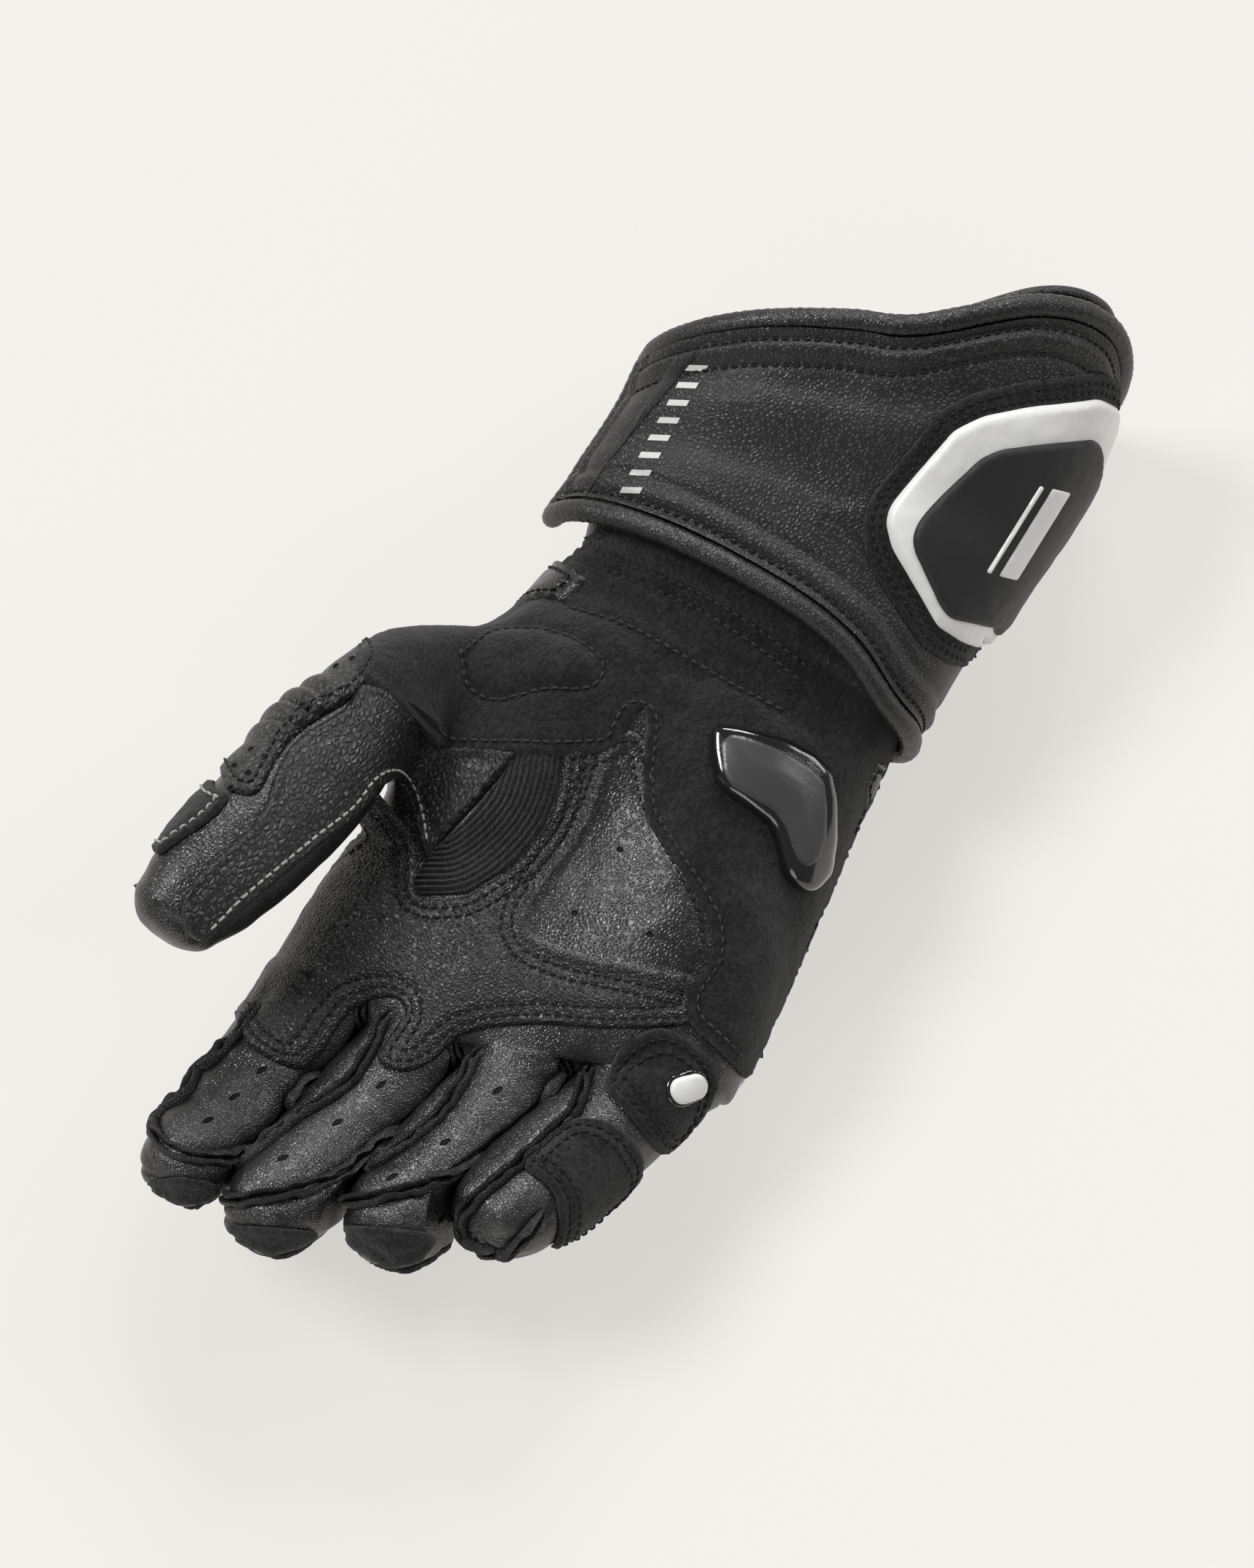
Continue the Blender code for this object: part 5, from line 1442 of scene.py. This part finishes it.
def build_heel(palm, lay):
    """The suede heel of the palm, with its pad, its folds and its stitch rows."""
    pad = flat_line(lay, palm, PAD_PLACES)
    folds = [flat_line(lay, palm, line) for line in FOLD_PLACES]
    wrist_rows = [flat_line(lay, palm, line) for line in WRIST_ROW_PLACES]
    hill = lay.flat(trace(palm, HILL_PLACES)[0])

    def relief(plan, inset, hits):
        rise = 0.00030 * noisy(hits, 260, 4.0) + 0.00018 * noisy(hits, 800, 6.0)
        d = outline_distance(plan, pad)
        rise += np.where(within(plan, pad), 0.0013 * (1 - np.exp(-(d / 0.003) ** 2)), 0)
        rise += groove(d, 0.0007, 0.0011)
        for line in wrist_rows:
            rise += groove(line_distance(plan, line), 0.0006, 0.0010)
        for line, depth in zip(folds, FOLD_DEPTHS):
            rise += groove(line_distance(plan, line), depth, 0.0026)
        rise += 0.0019 * np.exp(-(line_distance(plan, hill) / 0.0050) ** 2)
        return rise + groove(np.abs(inset - 0.0026), 0.0004, 0.0009)

    heel = Panel("suede_heel", lay, traced(lay, SUEDE_PLACES, 0.0011), 0.0011, SUEDE_THICKNESS, "suede",
                 "suede", gap=0.0005, relief=relief, replaced=("palm_suede",))
    rows = Heap()
    heel.sew(rows, 0.0026, 0.8)
    for line in wrist_rows + [np.vstack([pad, pad[:1]])]:
        stitch_row(rows, *heel.lay_line(even(line, LINE_STEP), 0.0001))
    # The heel's stitches are black thread with painted light in its colour.
    rows.piece("heel_stitches", "grey_thread", "leather")


def build_overlay(palm, lay):
    """The grained overlay, with the smoother triangle let into it and the double stitch rows."""
    seam = flat_line(lay, palm, TRIANGLE_SEAM)
    triangle = np.vstack([seam, lay.flat(trace(palm, TRIANGLE_SIDE)[0])])

    def relief(plan, inset, hits):
        rise = 0.00028 * noisy(hits, 150, 8.0) + 0.00010 * noisy(hits, 600, 9.0)
        d = line_distance(plan, seam)
        rise += 0.0008 * np.exp(-(d / 0.0008) ** 2)
        for row in SEAM_ROWS:
            rise += np.where(within(plan, triangle), 0, groove(d - row, 0.0004, 0.0007))
            rise += groove(inset - row + 0.0006, 0.0004, 0.0007)
        return rise

    overlay = Panel("overlay", lay, traced(lay, OVERLAY_PLACES, 0.0010), 0.0010, OVERLAY_THICKNESS,
                    ("pebbled", "smooth"), "leather", relief=relief, replaced=("palm_overlay",),
                    kind=lambda plan: within(plan, triangle).astype(int))
    rows = Heap()
    sew_rows(rows, overlay, (0.0022, 0.0046), 0.6)
    ahead = unit(np.gradient(seam, axis=0))
    away = np.stack([ahead[:, 1], -ahead[:, 0]], axis=1)
    middle = slice(20, 21)
    if within(seam[middle] + away[middle] * 0.002, triangle)[0]:
        away = -away
    for depth in SEAM_ROWS:
        line = even(relaxed(seam + away * depth, 4), LINE_STEP)
        stitch_row(rows, *overlay.lay_line(line[within(line, overlay.outline)], 0.00005))
    rows.piece("palm_stitches", "black_thread", "leather")
    holes = Heap()
    for x, y in EYELET_PLACES:
        eyelet(holes, overlay.tree, x, y, 0.0013, 0.0011, 0)
    holes.piece("palm_eyelets", "pit", "leather")


def build_gusset(palm, lay):
    """The ribbed knit between palm and thumb."""
    edge = flat_line(lay, palm, GUSSET_EDGE)

    def ribs(plan, inset, hits):
        d = line_distance(plan, edge)
        return 0.00034 * np.sin(2 * pi * d / RIB_PITCH) + groove(inset, 0.0006, 0.0015)

    gusset = Panel("gusset", lay, traced(lay, GUSSET_PLACES, 0.0005), 0.00036, 0.0010, "knit", "knit",
                   relief=ribs, replaced=("stretch_gusset",), edge=0.0006, calm=1)


def build_slider(lay):
    """The hard slider on the heel, and its grey face."""
    def dome(plan, inset, hits):
        t = np.clip(inset / 0.0024, 0, 1)
        return 0.0030 * t * (2 - t) + 0.0010 * np.clip(inset / 0.009, 0, 1)

    outer, inner = (traced(lay, [(x - SLIDER_SHIFT, y) for x, y in places], 0.0005, passes)
                    for places, passes in ((SLIDER_PLACES, 8), (FACE_PLACES, 3)))
    slider = Panel("slider", lay, outer, 0.0005, 0.0014, "gloss", "slider", gap=0.0012, edge=0.0005, calm=30,
                   sharp=70, relief=dome, replaced=("palm_slider",))
    Panel("slider_face", PhotoLay(slider.tree), inner, 0.0006, 0.0004, "grey", "slider", gap=0.0, edge=0.0003,
          calm=6, sharp=40)


def build_palm():
    palm = hand_and_sleeve()
    around, seen = fan(palm), PhotoLay(palm)
    build_heel(palm, around)
    build_overlay(palm, around)
    build_gusset(palm, seen)
    build_slider(seen)


HOLE_SIDES = 14
HOLE_RISE = 0.00025
# A punched hole's rings: size and height, as shares of the hole's and of its rise
HOLE_RINGS = ((1.35, -0.2), (1.28, 0.9), (1.05, 1.0), (0.92, 0.35), (0.5, 0.12))


def eyelet(heap, tree, x, y, length, width, turn):
    """A small punched hole: a lens darkened with painted shade for the hole's depth, with a slightly raised
    lip, at a pixel of the photograph.
    """
    ray = look(x, y)
    hit, normal, _, _ = tree.ray_cast(EYE, ray)
    if hit is None:
        return
    if normal.dot(ray) > 0:
        normal = -normal
    ahead = RIGHT * cos(turn) + UP * sin(turn)
    ahead = (ahead - normal * ahead.dot(normal)).normalized()
    across = ahead.cross(normal)
    points = []
    for size, height in HOLE_RINGS:
        for k in range(HOLE_SIDES):
            t = 2 * pi * k / HOLE_SIDES
            c, s = cos(t), sin(t)
            p = ahead * (c * length / 2 * size) + across * (s * abs(s) ** 0.3 * width / 2 * size)
            points.append(hit + p + normal * (height * HOLE_RISE))
    heap.add(points, turned_out(points, tube_faces(len(HOLE_RINGS), HOLE_SIDES)))


def suede_nap(plan, inset, hits):
    fine = 0.00028 * noisy(hits, 300, 11.0) + 0.00014 * noisy(hits, 900, 12.0)
    return fine + groove(inset - 0.0024, 0.0004, 0.0008)


def padded_nap(plan, inset, hits):
    return suede_nap(plan, inset, hits) + 0.0012 * np.clip((inset - 0.003) / 0.005, 0, 1)


def finger_lay(f, tree):
    return WrapLay(tree, AXES[FINGERS[f].name], FINGERS[f].width * FINGER_WIDTH / 2)


def suede_patch(name, lay, outline, node_name, relief=suede_nap):
    return Panel(name, lay, lay.outline(outline, PATCH_STEP), PATCH_STEP, SUEDE_THICKNESS, "suede", "suede",
                 relief=relief, replaced=(node_name,))


def pill(lay):
    """The flat outline of the little rivet."""
    turn = radians(PILL_TURN)
    ring = []
    for k in range(PILL_SIDES):
        t = 2 * pi * (k + 0.5) / PILL_SIDES
        x = PILL_WIDTH / 2 * cos(t) + (PILL_LENGTH - PILL_WIDTH) / 2 * (1 if cos(t) > 0 else -1)
        y = PILL_WIDTH / 2 * sin(t)
        ring.append((PILL_SHARE * lay.length + x * cos(turn) - y * sin(turn),
                     radians(PILL_ANGLE) * lay.radius + x * sin(turn) + y * cos(turn)))
    return ring_even(np.array(ring), 0.0003)


def build_fingers():
    """The suede patches, the rivet and the small slits of the fingers."""
    rows, white_rows = Heap(), Heap()
    little = skin_tree(*PALM_NUMBERS, 4)
    lay = finger_lay(3, little)
    base = suede_patch("little_base", lay, LITTLE_BASE_OUTLINE, "little_patch_base", padded_nap)
    tip = suede_patch("little_tip", lay, LITTLE_TIP_OUTLINE, "little_patch_tip")
    for patch in (base, tip):
        sew_rows(rows, patch, (0.0022, 0.0044))
    lay = finger_lay(3, base.tree)
    outline = pill(lay)
    Panel("rivet", lay, outline, 0.0003, 0.0013, "white", "white", edge=0.0009, calm=12,
          replaced=("little_rivet",))
    Panel("rivet_seat", lay, ring_even(widened(outline, 0.0008), 0.0004), 0.0004, 0.0006, "gloss", "guard",
          gap=0.0, edge=0.0005, calm=12)

    for f, finger in enumerate(FINGERS[:3]):
        tree = skin_tree(f + 1)
        patch = suede_patch(finger.name + "_tip_suede", finger_lay(f, tree), FINGERTIP_OUTLINE,
                            finger.name + "_tip_patch")
        patch.sew(white_rows, 0.0022)
        lay = PhotoLay(tree)
        Panel(finger.name + "_tip_cap", lay, traced(lay, TIP_PLACES[finger.name], 0.0008, 2), 0.0008, 0.0012,
              "suede", "suede", relief=suede_nap, edge=0.0008, calm=4)
    rows.piece("little_stitches", "black_thread", "leather")
    white_rows.piece("fingertip_stitches", "white_thread", "white")

    slits = Heap()
    trees = [skin_tree(f + 1, f + 6) for f in range(3)] + [little]
    for tree, places in zip(trees, SLIT_PLACES):
        for x, y in places:
            eyelet(slits, tree, x, y, 0.0023, 0.0009, radians(38))
    slits.piece("finger_slits", "pit", "leather")


def widened(outline, reach):
    """A closed flat outline moved outwards."""
    ahead = np.roll(outline, -1, axis=0) - np.roll(outline, 1, axis=0)
    area = (outline[:, 0] * np.roll(outline[:, 1], -1) - outline[:, 1] * np.roll(outline[:, 0], -1)).sum()
    return outline + unit(np.stack([ahead[:, 1], -ahead[:, 0]], axis=1)) * (reach if area > 0 else -reach)


def build_thumb():
    """The thumb's grained panel, the ribbed and punched back panel and the suede tip patch."""
    tree = skin_tree(*PALM_NUMBERS, 5)
    lay = WrapLay(tree, AXES["thumb"], THUMB[3].width * THUMB_WIDTH / 2, low=-60)
    rows, white_rows = Heap(), Heap()

    def grain(plan, inset, hits):
        return 0.0003 * noisy(hits, 130, 13.0) + 0.0007 * np.exp(-((inset - 0.0013) / 0.0008) ** 2)

    seen = PhotoLay(tree)
    front = Panel("thumb_front", seen, traced(seen, THUMB_FRONT_PLACES, PATCH_STEP, 2), PATCH_STEP,
                  THUMB_THICKNESS, "thumb", "leather", relief=grain, replaced=("thumb_panel",))

    def accordion(plan, inset, hits):
        share = plan[:, 0] / lay.length
        ribs = np.clip(1 - np.abs(share - 0.285) / 0.105, 0, 1) ** 0.5
        swell = np.abs(np.sin(pi * (share - 0.18) / 0.0525)) ** 0.7
        return 0.0027 * ribs * swell + 0.0002 * noisy(hits, 150, 15.0)

    back = Panel("thumb_back", lay, traced(lay, THUMB_BACK_PLACES, 0.0008), 0.0008, 0.0013, "thumb",
                 "leather", relief=accordion, replaced=("thumb_back_panel",))
    back.sew(rows, 0.0020)

    def nap(plan, inset, hits):
        return 0.0003 * noisy(hits, 300, 16.0) + groove(inset - 0.0024, 0.0004, 0.0009)

    tip = Panel("thumb_suede", lay, traced(lay, THUMB_SUEDE_PLACES, PATCH_STEP), PATCH_STEP, SUEDE_THICKNESS,
                "suede", "suede", relief=nap, replaced=("thumb_tip_patch",))
    tip.sew(white_rows, 0.0020)
    rows.piece("thumb_stitches", "black_thread", "leather")
    stitch_row(white_rows, *trace(front.tree, THUMB_INNER_SEAM))
    white_rows.piece("thumb_white_stitches", "white_thread", "white")
    holes = Heap()
    for x, y in HOLE_PLACES:
        eyelet(holes, back.tree, x, y, 0.0012, 0.0012, 0)
    holes.piece("thumb_holes", "pit", "leather")


def build_guard():
    """The knuckle guard on the back, with its white trim."""
    lay = BackLay(skin_tree(*PALM_NUMBERS))
    outline = lay.outline(KNUCKLE_GUARD_OUTLINE, 0.0014)
    height = BACK_HEIGHT + 0.003

    def dome(plan, inset, hits):
        t = np.clip(inset / 0.012, 0, 1)
        return (height - GUARD_EDGE) * t * (2 - t)

    middle = outline.mean(axis=0)
    reach = np.linalg.norm(outline - middle, axis=1).mean()
    inner, outer = (middle + (outline - middle) * (1 - depth / reach) for depth in (0.0041, 0.0019))
    Panel("guard", lay, outline, 0.0014, GUARD_EDGE, ("gloss", "white"), "guard", gap=0.0004, edge=0.0016,
          relief=dome, calm=6, kind=lambda plan: (within(plan, outer) & ~within(plan, inner)).astype(int),
          replaced=("knuckle_guard",), rings=(outer, inner))


# Cuff sections from the wrist to the mouth: share of the cuff's length, then its middle across, as a share
# of the palm's width, and its width, height and lowest point, as shares of the cuff's width and height.
CuffSection = namedtuple("CuffSection", "along middle width height floor")
CUFF_SECTIONS = (
    CuffSection(0.00, -0.078, 0.88, 0.59, 0.11),
    CuffSection(0.15, -0.081, 0.90, 0.64, 0.09),
    CuffSection(0.40, -0.081, 0.94, 0.75, 0.04),
    CuffSection(0.70, -0.076, 0.96, 0.895, -0.015),
    CuffSection(1.00, -0.098, 0.93, 0.99, -0.02),
)
# Where the mouth's edge is at each angle, as a share of the cuff's length
MOUTH_EDGE = (
    (-180, 0.41), (-165, 0.53), (-120, 0.80), (-60, 0.87), (-20, 0.92), (10, 0.97), (35, 0.985),
    (60, 0.91), (90, 0.67), (120, 0.53), (150, 0.44), (180, 0.41),
)


def cuff_point(theta, along, lift):
    """A point on the cuff at an angle from the little-finger side, 90 being the palm side, and a share of
    the cuff's length."""
    t = radians(theta)
    c, s = cos(t), sin(t)
    middle = table_value([(k.along, k.middle) for k in CUFF_SECTIONS], along) * PALM_WIDTH
    half_w = table_value([(k.along, k.width) for k in CUFF_SECTIONS], along) * CUFF_WIDTH / 2
    half_h = table_value([(k.along, k.height) for k in CUFF_SECTIONS], along) * CUFF_HEIGHT / 2
    floor = table_value([(k.along, k.floor) for k in CUFF_SECTIONS], along) * CUFF_HEIGHT
    power = 2 / CUFF_SQUARENESS
    x = middle + (half_w + lift) * abs(c) ** power * (1 if c >= 0 else -1)
    z = floor + half_h + (half_h + lift) * abs(s) ** power * (1 if s >= 0 else -1)
    reach = flowing_value(MOUTH_EDGE, (theta + 180) % 360 - 180)
    y = PALM_LENGTH + SEAM_GAP + along * reach * CUFF_LENGTH
    return Vector((x, y, max(z, max(0.0, -lift))))


def flap_lift(theta, along):
    """The flap stands off the narrow wrist towards its free edge."""
    free = max(0.0, min(1.0, (theta - 100) / 70))
    rise = FLAP_RISE * max(0.0, 1 - 3 * max(0.0, along))
    return FLAP_LIFT + rise + FLAP_FLARE * free * max(0.0, 1 - 1.5 * along)


FLAP_FIRST, FLAP_LAST, FLAP_SPANS = -36, 172, 21
EDGING_GAP = 0.0005
FLAP_END = 0.93
CORNER_REACH = 0.84
# How high the plates' axis lies at the wrist and at the far end, as shares of the cuff's height
AXIS_LOW, AXIS_HIGH = 0.405, 0.485
# Where the flap's wrist edge is at each angle, as a share of the cuff's length there
FLAP_START = ((-36, 0.02), (10, 0.015), (38, 0.02), (62, 0.075), (92, 0.13), (130, 0.13), (172, 0.09))


def flap_share(theta, stop):
    """The share of the cuff's length at a share of the flap's."""
    return mix(flowing_value(FLAP_START, theta), FLAP_END, stop)


def flap_edge():
    """The line of the flap's edging: its wrist edge, up its free edge and back along its mouth edge."""
    spans = 3 * FLAP_SPANS
    angles = [mix(FLAP_FIRST, FLAP_LAST, k / spans) for k in range(spans + 1)]
    sides = ([(theta, 0.0) for theta in angles], [(FLAP_LAST, k / 14) for k in range(15)],
             [(theta, 1.0) for theta in angles[::-1]])
    points, outs, before = [], [], None
    for side in sides:
        rim, lifts = [], []
        for theta, stop in side:
            along = flap_share(theta, stop)
            lift = flap_lift(theta, along)
            rim.append(cuff_point(theta, along, lift + FLAP_THICKNESS / 2))
            raised = cuff_point(theta, along, lift + FLAP_THICKNESS)
            lifts.append((raised - cuff_point(theta, along, lift)).normalized())
        for k, p in enumerate(rim):
            ahead = (rim[min(k + 1, len(rim) - 1)] - rim[max(k - 1, 0)]).normalized()
            away = lifts[k].cross(ahead).normalized() * (PIPING_DIAMETER / 2 + EDGING_GAP)
            if k == 0 and before is not None:
                points.append(p + (away + before) * CORNER_REACH)
                outs.append(lifts[k])
            points.append(p + away)
            outs.append(lifts[k])
        before = away
    return np.array([tuple(p) for p in points]), np.array([tuple(n) for n in outs])


def flap_point(theta, stop, lift):
    along = flap_share(theta, stop)
    return cuff_point(theta, along, flap_lift(theta, along) + lift)


def flap_reach(theta):
    """The flap's length at an angle, from its wrist edge to its mouth edge."""
    return (flap_point(theta, 1.0, 0) - flap_point(theta, 0.0, 0)).length


def cuff_grid(name, thetas, stops, outer, inner, materials, slot, closed, **more):
    """A closed wrapped sheet between two faces, each given by (theta, stop); returns its points and faces."""
    rows = [[outer(a, s) for a in thetas] for s in stops] + [[inner(a, s) for a in thetas] for s in stops]
    n, m = len(thetas), len(stops)
    points = [tuple(p) for row in rows for p in row]
    half = n * m
    faces = []
    spans = n if closed else n - 1
    for i in range(m - 1):
        for j in range(spans):
            a, b = i * n + j, i * n + (j + 1) % n
            faces += [(a, b, b + n, a + n), (half + a + n, half + b + n, half + b, half + a)]
    for j in range(spans):
        a, b = j, (j + 1) % n
        faces.append((b, a, half + a, half + b))
        a, b = (m - 1) * n + a, (m - 1) * n + b
        faces.append((a, b, half + b, half + a))
    if not closed:
        for i in range(m - 1):
            a, b = i * n, (i + 1) * n
            faces.append((a, b, half + b, half + a))
            a, b = a + n - 1, b + n - 1
            faces.append((b, a, half + a, half + b))
    faces = turned_out(points, faces)
    add_piece(name, points, faces, materials, slot, **more)
    return points, faces


# The flap's radius round the wrist, near enough for depths inside its edges
FLAP_RADIUS = CUFF_WIDTH * 0.46
# Points over the flap, round it and along it, and round and along the sleeve
FLAP_GRID = (230, 110)
SLEEVE_GRID = (160, 60)
# The flap's relief inside its edges: how far in, how high and how wide each groove or swell is
EDGE_RELIEF = ((0.0022, -0.0009, 0.0011), (0.0050, 0.0006, 0.0017), (0.0084, -0.0005, 0.0012))


def edge_line(side, depth):
    """A line on the flap at a depth inside one of its edges: wrist, free or mouth."""
    spots, outs = [], []
    turn = degrees(depth / FLAP_RADIUS)
    if side in ("wrist", "mouth"):
        thetas = np.linspace(FLAP_FIRST + turn, FLAP_LAST - turn, 90)
        places = [(a, depth / flap_reach(a)) for a in thetas]
        if side == "mouth":
            places = [(a, 1 - s) for a, s in places]
    else:
        a = FLAP_LAST - turn
        low = depth / flap_reach(a)
        places = [(a, s) for s in np.linspace(low, 1 - low, 50)]
    for a, s in places:
        spots.append(tuple(flap_point(a, s, FLAP_THICKNESS)))
        outs.append(tuple((flap_point(a, s, 0.012) - flap_point(a, s, 0.002)).normalized()))
    both = even(np.hstack([np.array(spots), np.array(outs)]), LINE_STEP)
    return both[:, :3], unit(both[:, 3:])


def corner_line(depth):
    """One line at a depth inside the flap's wrist, free and mouth edges."""
    wrist, free, mouth = (edge_line(side, depth) for side in ("wrist", "free", "mouth"))
    line = np.vstack([wrist[0], free[0][1:], mouth[0][::-1][1:]])
    normals = np.vstack([wrist[1], free[1][1:], mouth[1][::-1][1:]])
    return line, normals


def build_sleeve():
    """The gauntlet's sleeve, with the binding round its mouth."""
    def outer(a, s):
        p = cuff_point(a, s, 0.0)
        swell = noise.noise(Vector(p) * 55) * 0.0006 + noise.noise(Vector(p) * 190) * 0.0002
        q = cuff_point(a, s, swell - 0.0002)
        return (q.x, q.y, max(q.z, 0.0))

    around, along = SLEEVE_GRID
    cuff_grid("sleeve", [k * 360 / around for k in range(around)], list(np.linspace(0, 1, along)), outer,
              lambda a, s: cuff_point(a, s, -CUFF_WALL), "smooth", "leather", True, replaced=("cuff_sleeve",))
    heap = Heap()
    angles = np.linspace(0, 360, 241)[:-1]
    rim = np.array([tuple(cuff_point(a, 1.0, -CUFF_WALL / 2)) for a in angles])
    outs = np.array([tuple(cuff_point(a, 1.0, 0.01) - cuff_point(a, 1.0, 0.0)) for a in angles])
    rim[:, 2] = np.maximum(rim[:, 2], 0.0016)
    sweep(heap, rim, unit(outs), round_section(0.0030, 0.0016, 1.0, 10), closed=True)
    heap.piece("sleeve_binding", "piping", "leather")


def build_flap():
    """The wrap-over flap, as a tree of its surface."""
    thetas = list(np.linspace(FLAP_FIRST, FLAP_LAST, FLAP_GRID[0]))
    reaches = {a: flap_reach(a) for a in thetas}

    def outer(a, s):
        reach = reaches[a]
        rise = 0.0
        for d in (s * reach, (1 - s) * reach, radians(FLAP_LAST - a) * FLAP_RADIUS):
            for place, height, width in EDGE_RELIEF:
                rise += height * np.exp(-((d - place) / width) ** 2)
        p = flap_point(a, s, 0)
        rise += 0.00045 * noise.noise(p * 48) + 0.00014 * noise.noise(p * 170)
        return flap_point(a, s, FLAP_THICKNESS + rise)

    stops = list(np.linspace(0, 1, FLAP_GRID[1]))
    return tree_from(*cuff_grid("flap", thetas, stops, outer, lambda a, s: flap_point(a, s, 0.0), "flap",
                                "leather", False, replaced=("cuff_flap",)))


def build_edging():
    """The padded edging of the flap, slightly puckered."""
    heap = Heap()
    line, outs = flap_edge()
    plain = round_section(PIPING_DIAMETER * 1.12, PIPING_DIAMETER / 2 * 1.04, 1.0, 12)

    def puckered(s, total):
        size = 1 + 0.035 * sin(2 * pi * s / 0.0026) + 0.05 * noise.noise(Vector((s * 140, 0, 5)))
        return [(x * size, z * size) for x, z in plain(s, total)]

    both = even(np.hstack([line, outs]), 0.0011)
    both[:, :3] = relaxed(both[:, :3], 6)
    sweep(heap, both[:, :3], unit(both[:, 3:]), puckered)
    heap.piece("flap_edging", "piping", "leather", replaced=("flap_piping",))


def build_plates(tree, rows):
    """The plate on the flap: its stitched border, white frame, black inset and two plain stripes."""
    axis = straight_axis(CUFF_SECTIONS[0].middle * PALM_WIDTH, lambda share: (
        PALM_LENGTH + SEAM_GAP + share * CUFF_LENGTH, mix(AXIS_LOW, AXIS_HIGH, share) * CUFF_HEIGHT))
    lay = WrapLay(tree, axis, CUFF_WIDTH / 2)
    frame_line = traced(lay, WHITE_PLACES, 0.0010)
    border = ring_even(widened(frame_line, 0.0058), 0.0011)
    depths = (0.0020, 0.0042)
    seat = Panel("plate_border", lay, border, 0.0011, 0.0009, "suede", "suede", gap=0.0002, edge=0.0008,
                 calm=6, relief=lambda plan, inset, hits: 0.0002 * noisy(hits, 350, 21.0)
                 + sum(groove(inset - depth, 0.0004, 0.0007) for depth in depths))
    sew_rows(rows, seat, depths)
    rows.piece("cuff_stitches", "black_thread", "leather")
    lay = WrapLay(seat.tree, axis, CUFF_WIDTH / 2)
    white = Panel("plate_frame", lay, frame_line, 0.0010, 0.0018, "white", "white", gap=0.0, edge=0.0017,
                  calm=14, replaced=("cuff_plate_white",), sharp=50)
    lay = WrapLay(white.tree, axis, CUFF_WIDTH / 2)
    black = Panel("plate_inset", lay, traced(lay, INSET_PLACES, 0.0010), 0.0010, 0.0012, "matte", "leather",
                  gap=0.0, edge=0.0014, calm=14, replaced=("cuff_plate_black",))
    lay = PhotoLay(black.tree)
    for name, places in (("plate_stripe", STRIPE_PLACES), ("plate_line", LINE_PLACES)):
        Panel(name, lay, traced(lay, places, 0.0004, 1), 0.0005, PRINT_THICKNESS, "white", "white", gap=0.0,
              edge=0.0004, calm=4)


def build_cuff():
    """The sleeve, the wrap-over flap with its edging, the plate, the strip and the printed dashes."""
    build_sleeve()
    tree = build_flap()
    build_edging()
    rows = Heap()
    for line in (corner_line(FLAP_ROW), edge_line("mouth", MOUTH_ROW)):
        stitch_row(rows, *settle(tree, *line))
    build_plates(tree, rows)
    lay = PhotoLay(tree)
    Panel("grip_strip", lay, traced(lay, GRIP_PLACES, 0.0006, 2), 0.0007, 0.0004, "felt", "knit", gap=0.0001,
          edge=0.0006, replaced=("flap_grip_strip",), calm=6,
          relief=lambda plan, inset, hits: 0.00018 * noisy(hits, 900, 22.0))
    marks = Heap()
    start, end = np.array(DASH_LINE, dtype=float)
    for k in range(DASH_COUNT):
        dash(marks, tree, start + (end - start) * k / (DASH_COUNT - 1), end - start)
    marks.piece("flap_dashes", "print", "white")


# The row of dashes, in pixels of the photograph: its ends, and each dash's count, length and width
DASH_LINE = ((958, 506), (868, 674))
DASH_COUNT = 8
DASH_LENGTH, DASH_WIDTH = 27, 9
DASH_GRID = (7, 4)
# Stitch rows inside the flap's edges
FLAP_ROW, MOUTH_ROW = 0.0024, 0.0086


def dash(heap, tree, middle, ahead):
    """One plain slanted dash, printed on the flap at a pixel of the photograph."""
    ahead = ahead / np.linalg.norm(ahead)
    across = np.array((-ahead[1], ahead[0]))
    slant = across * 0.92 + ahead * 0.45
    columns, lines = DASH_GRID
    top, bottom = [], []
    for i in range(columns):
        for j in range(lines):
            shift = slant * ((i / (columns - 1) - 0.5) * DASH_LENGTH)
            hit, normal, _ = seen_at(tree, *(middle + shift + ahead * ((j / (lines - 1) - 0.5) * DASH_WIDTH)))
            top.append(tuple(hit + normal * 0.00018))
            bottom.append(tuple(hit - normal * 0.0001))
    points = np.array(top + bottom)
    faces = []
    half = columns * lines
    for i in range(columns - 1):
        for j in range(lines - 1):
            a, b, c, d = i * lines + j, i * lines + j + 1, (i + 1) * lines + j + 1, (i + 1) * lines + j
            faces += [(a, b, c, d), (half + d, half + c, half + b, half + a)]
    edges = {pair for f in faces for pair in zip(f, f[1:] + f[:1])}
    faces += [(b, a, a + half, b + half) for a, b in sorted(edges) if (b, a) not in edges and a < half]
    heap.add(points, turned_out(points, faces))


def build_strap():
    """The wrist strap that shows on both sides below the flap."""
    height = BACK_HEIGHT + 0.5 * PALM_THICKNESS
    wrist = straight_axis(HAND_MIDDLE, lambda share: (share * PALM_LENGTH, height))
    lay = WrapLay(skin_tree(*PALM_NUMBERS), wrist, PALM_WIDTH * 0.36)
    strap = Panel("strap", lay, lay.outline(STRAP_OUTLINE, 0.0011, rounds=1), 0.0011, STRAP_THICKNESS,
                  "smooth", "leather", edge=0.0012, calm=8, replaced=("wrist_strap",),
                  relief=lambda plan, inset, hits: 0.0003 * noisy(hits, 120, 31.0)
                  + groove(inset - 0.0024, 0.0006, 0.0009))
    rows = Heap()
    strap.sew(rows, 0.0024)
    rows.piece("strap_stitches", "black_thread", "leather")


make_camera()
make_studio()
build_hand()
build_palm()
build_fingers()
build_thumb()
build_guard()
build_cuff()
build_strap()
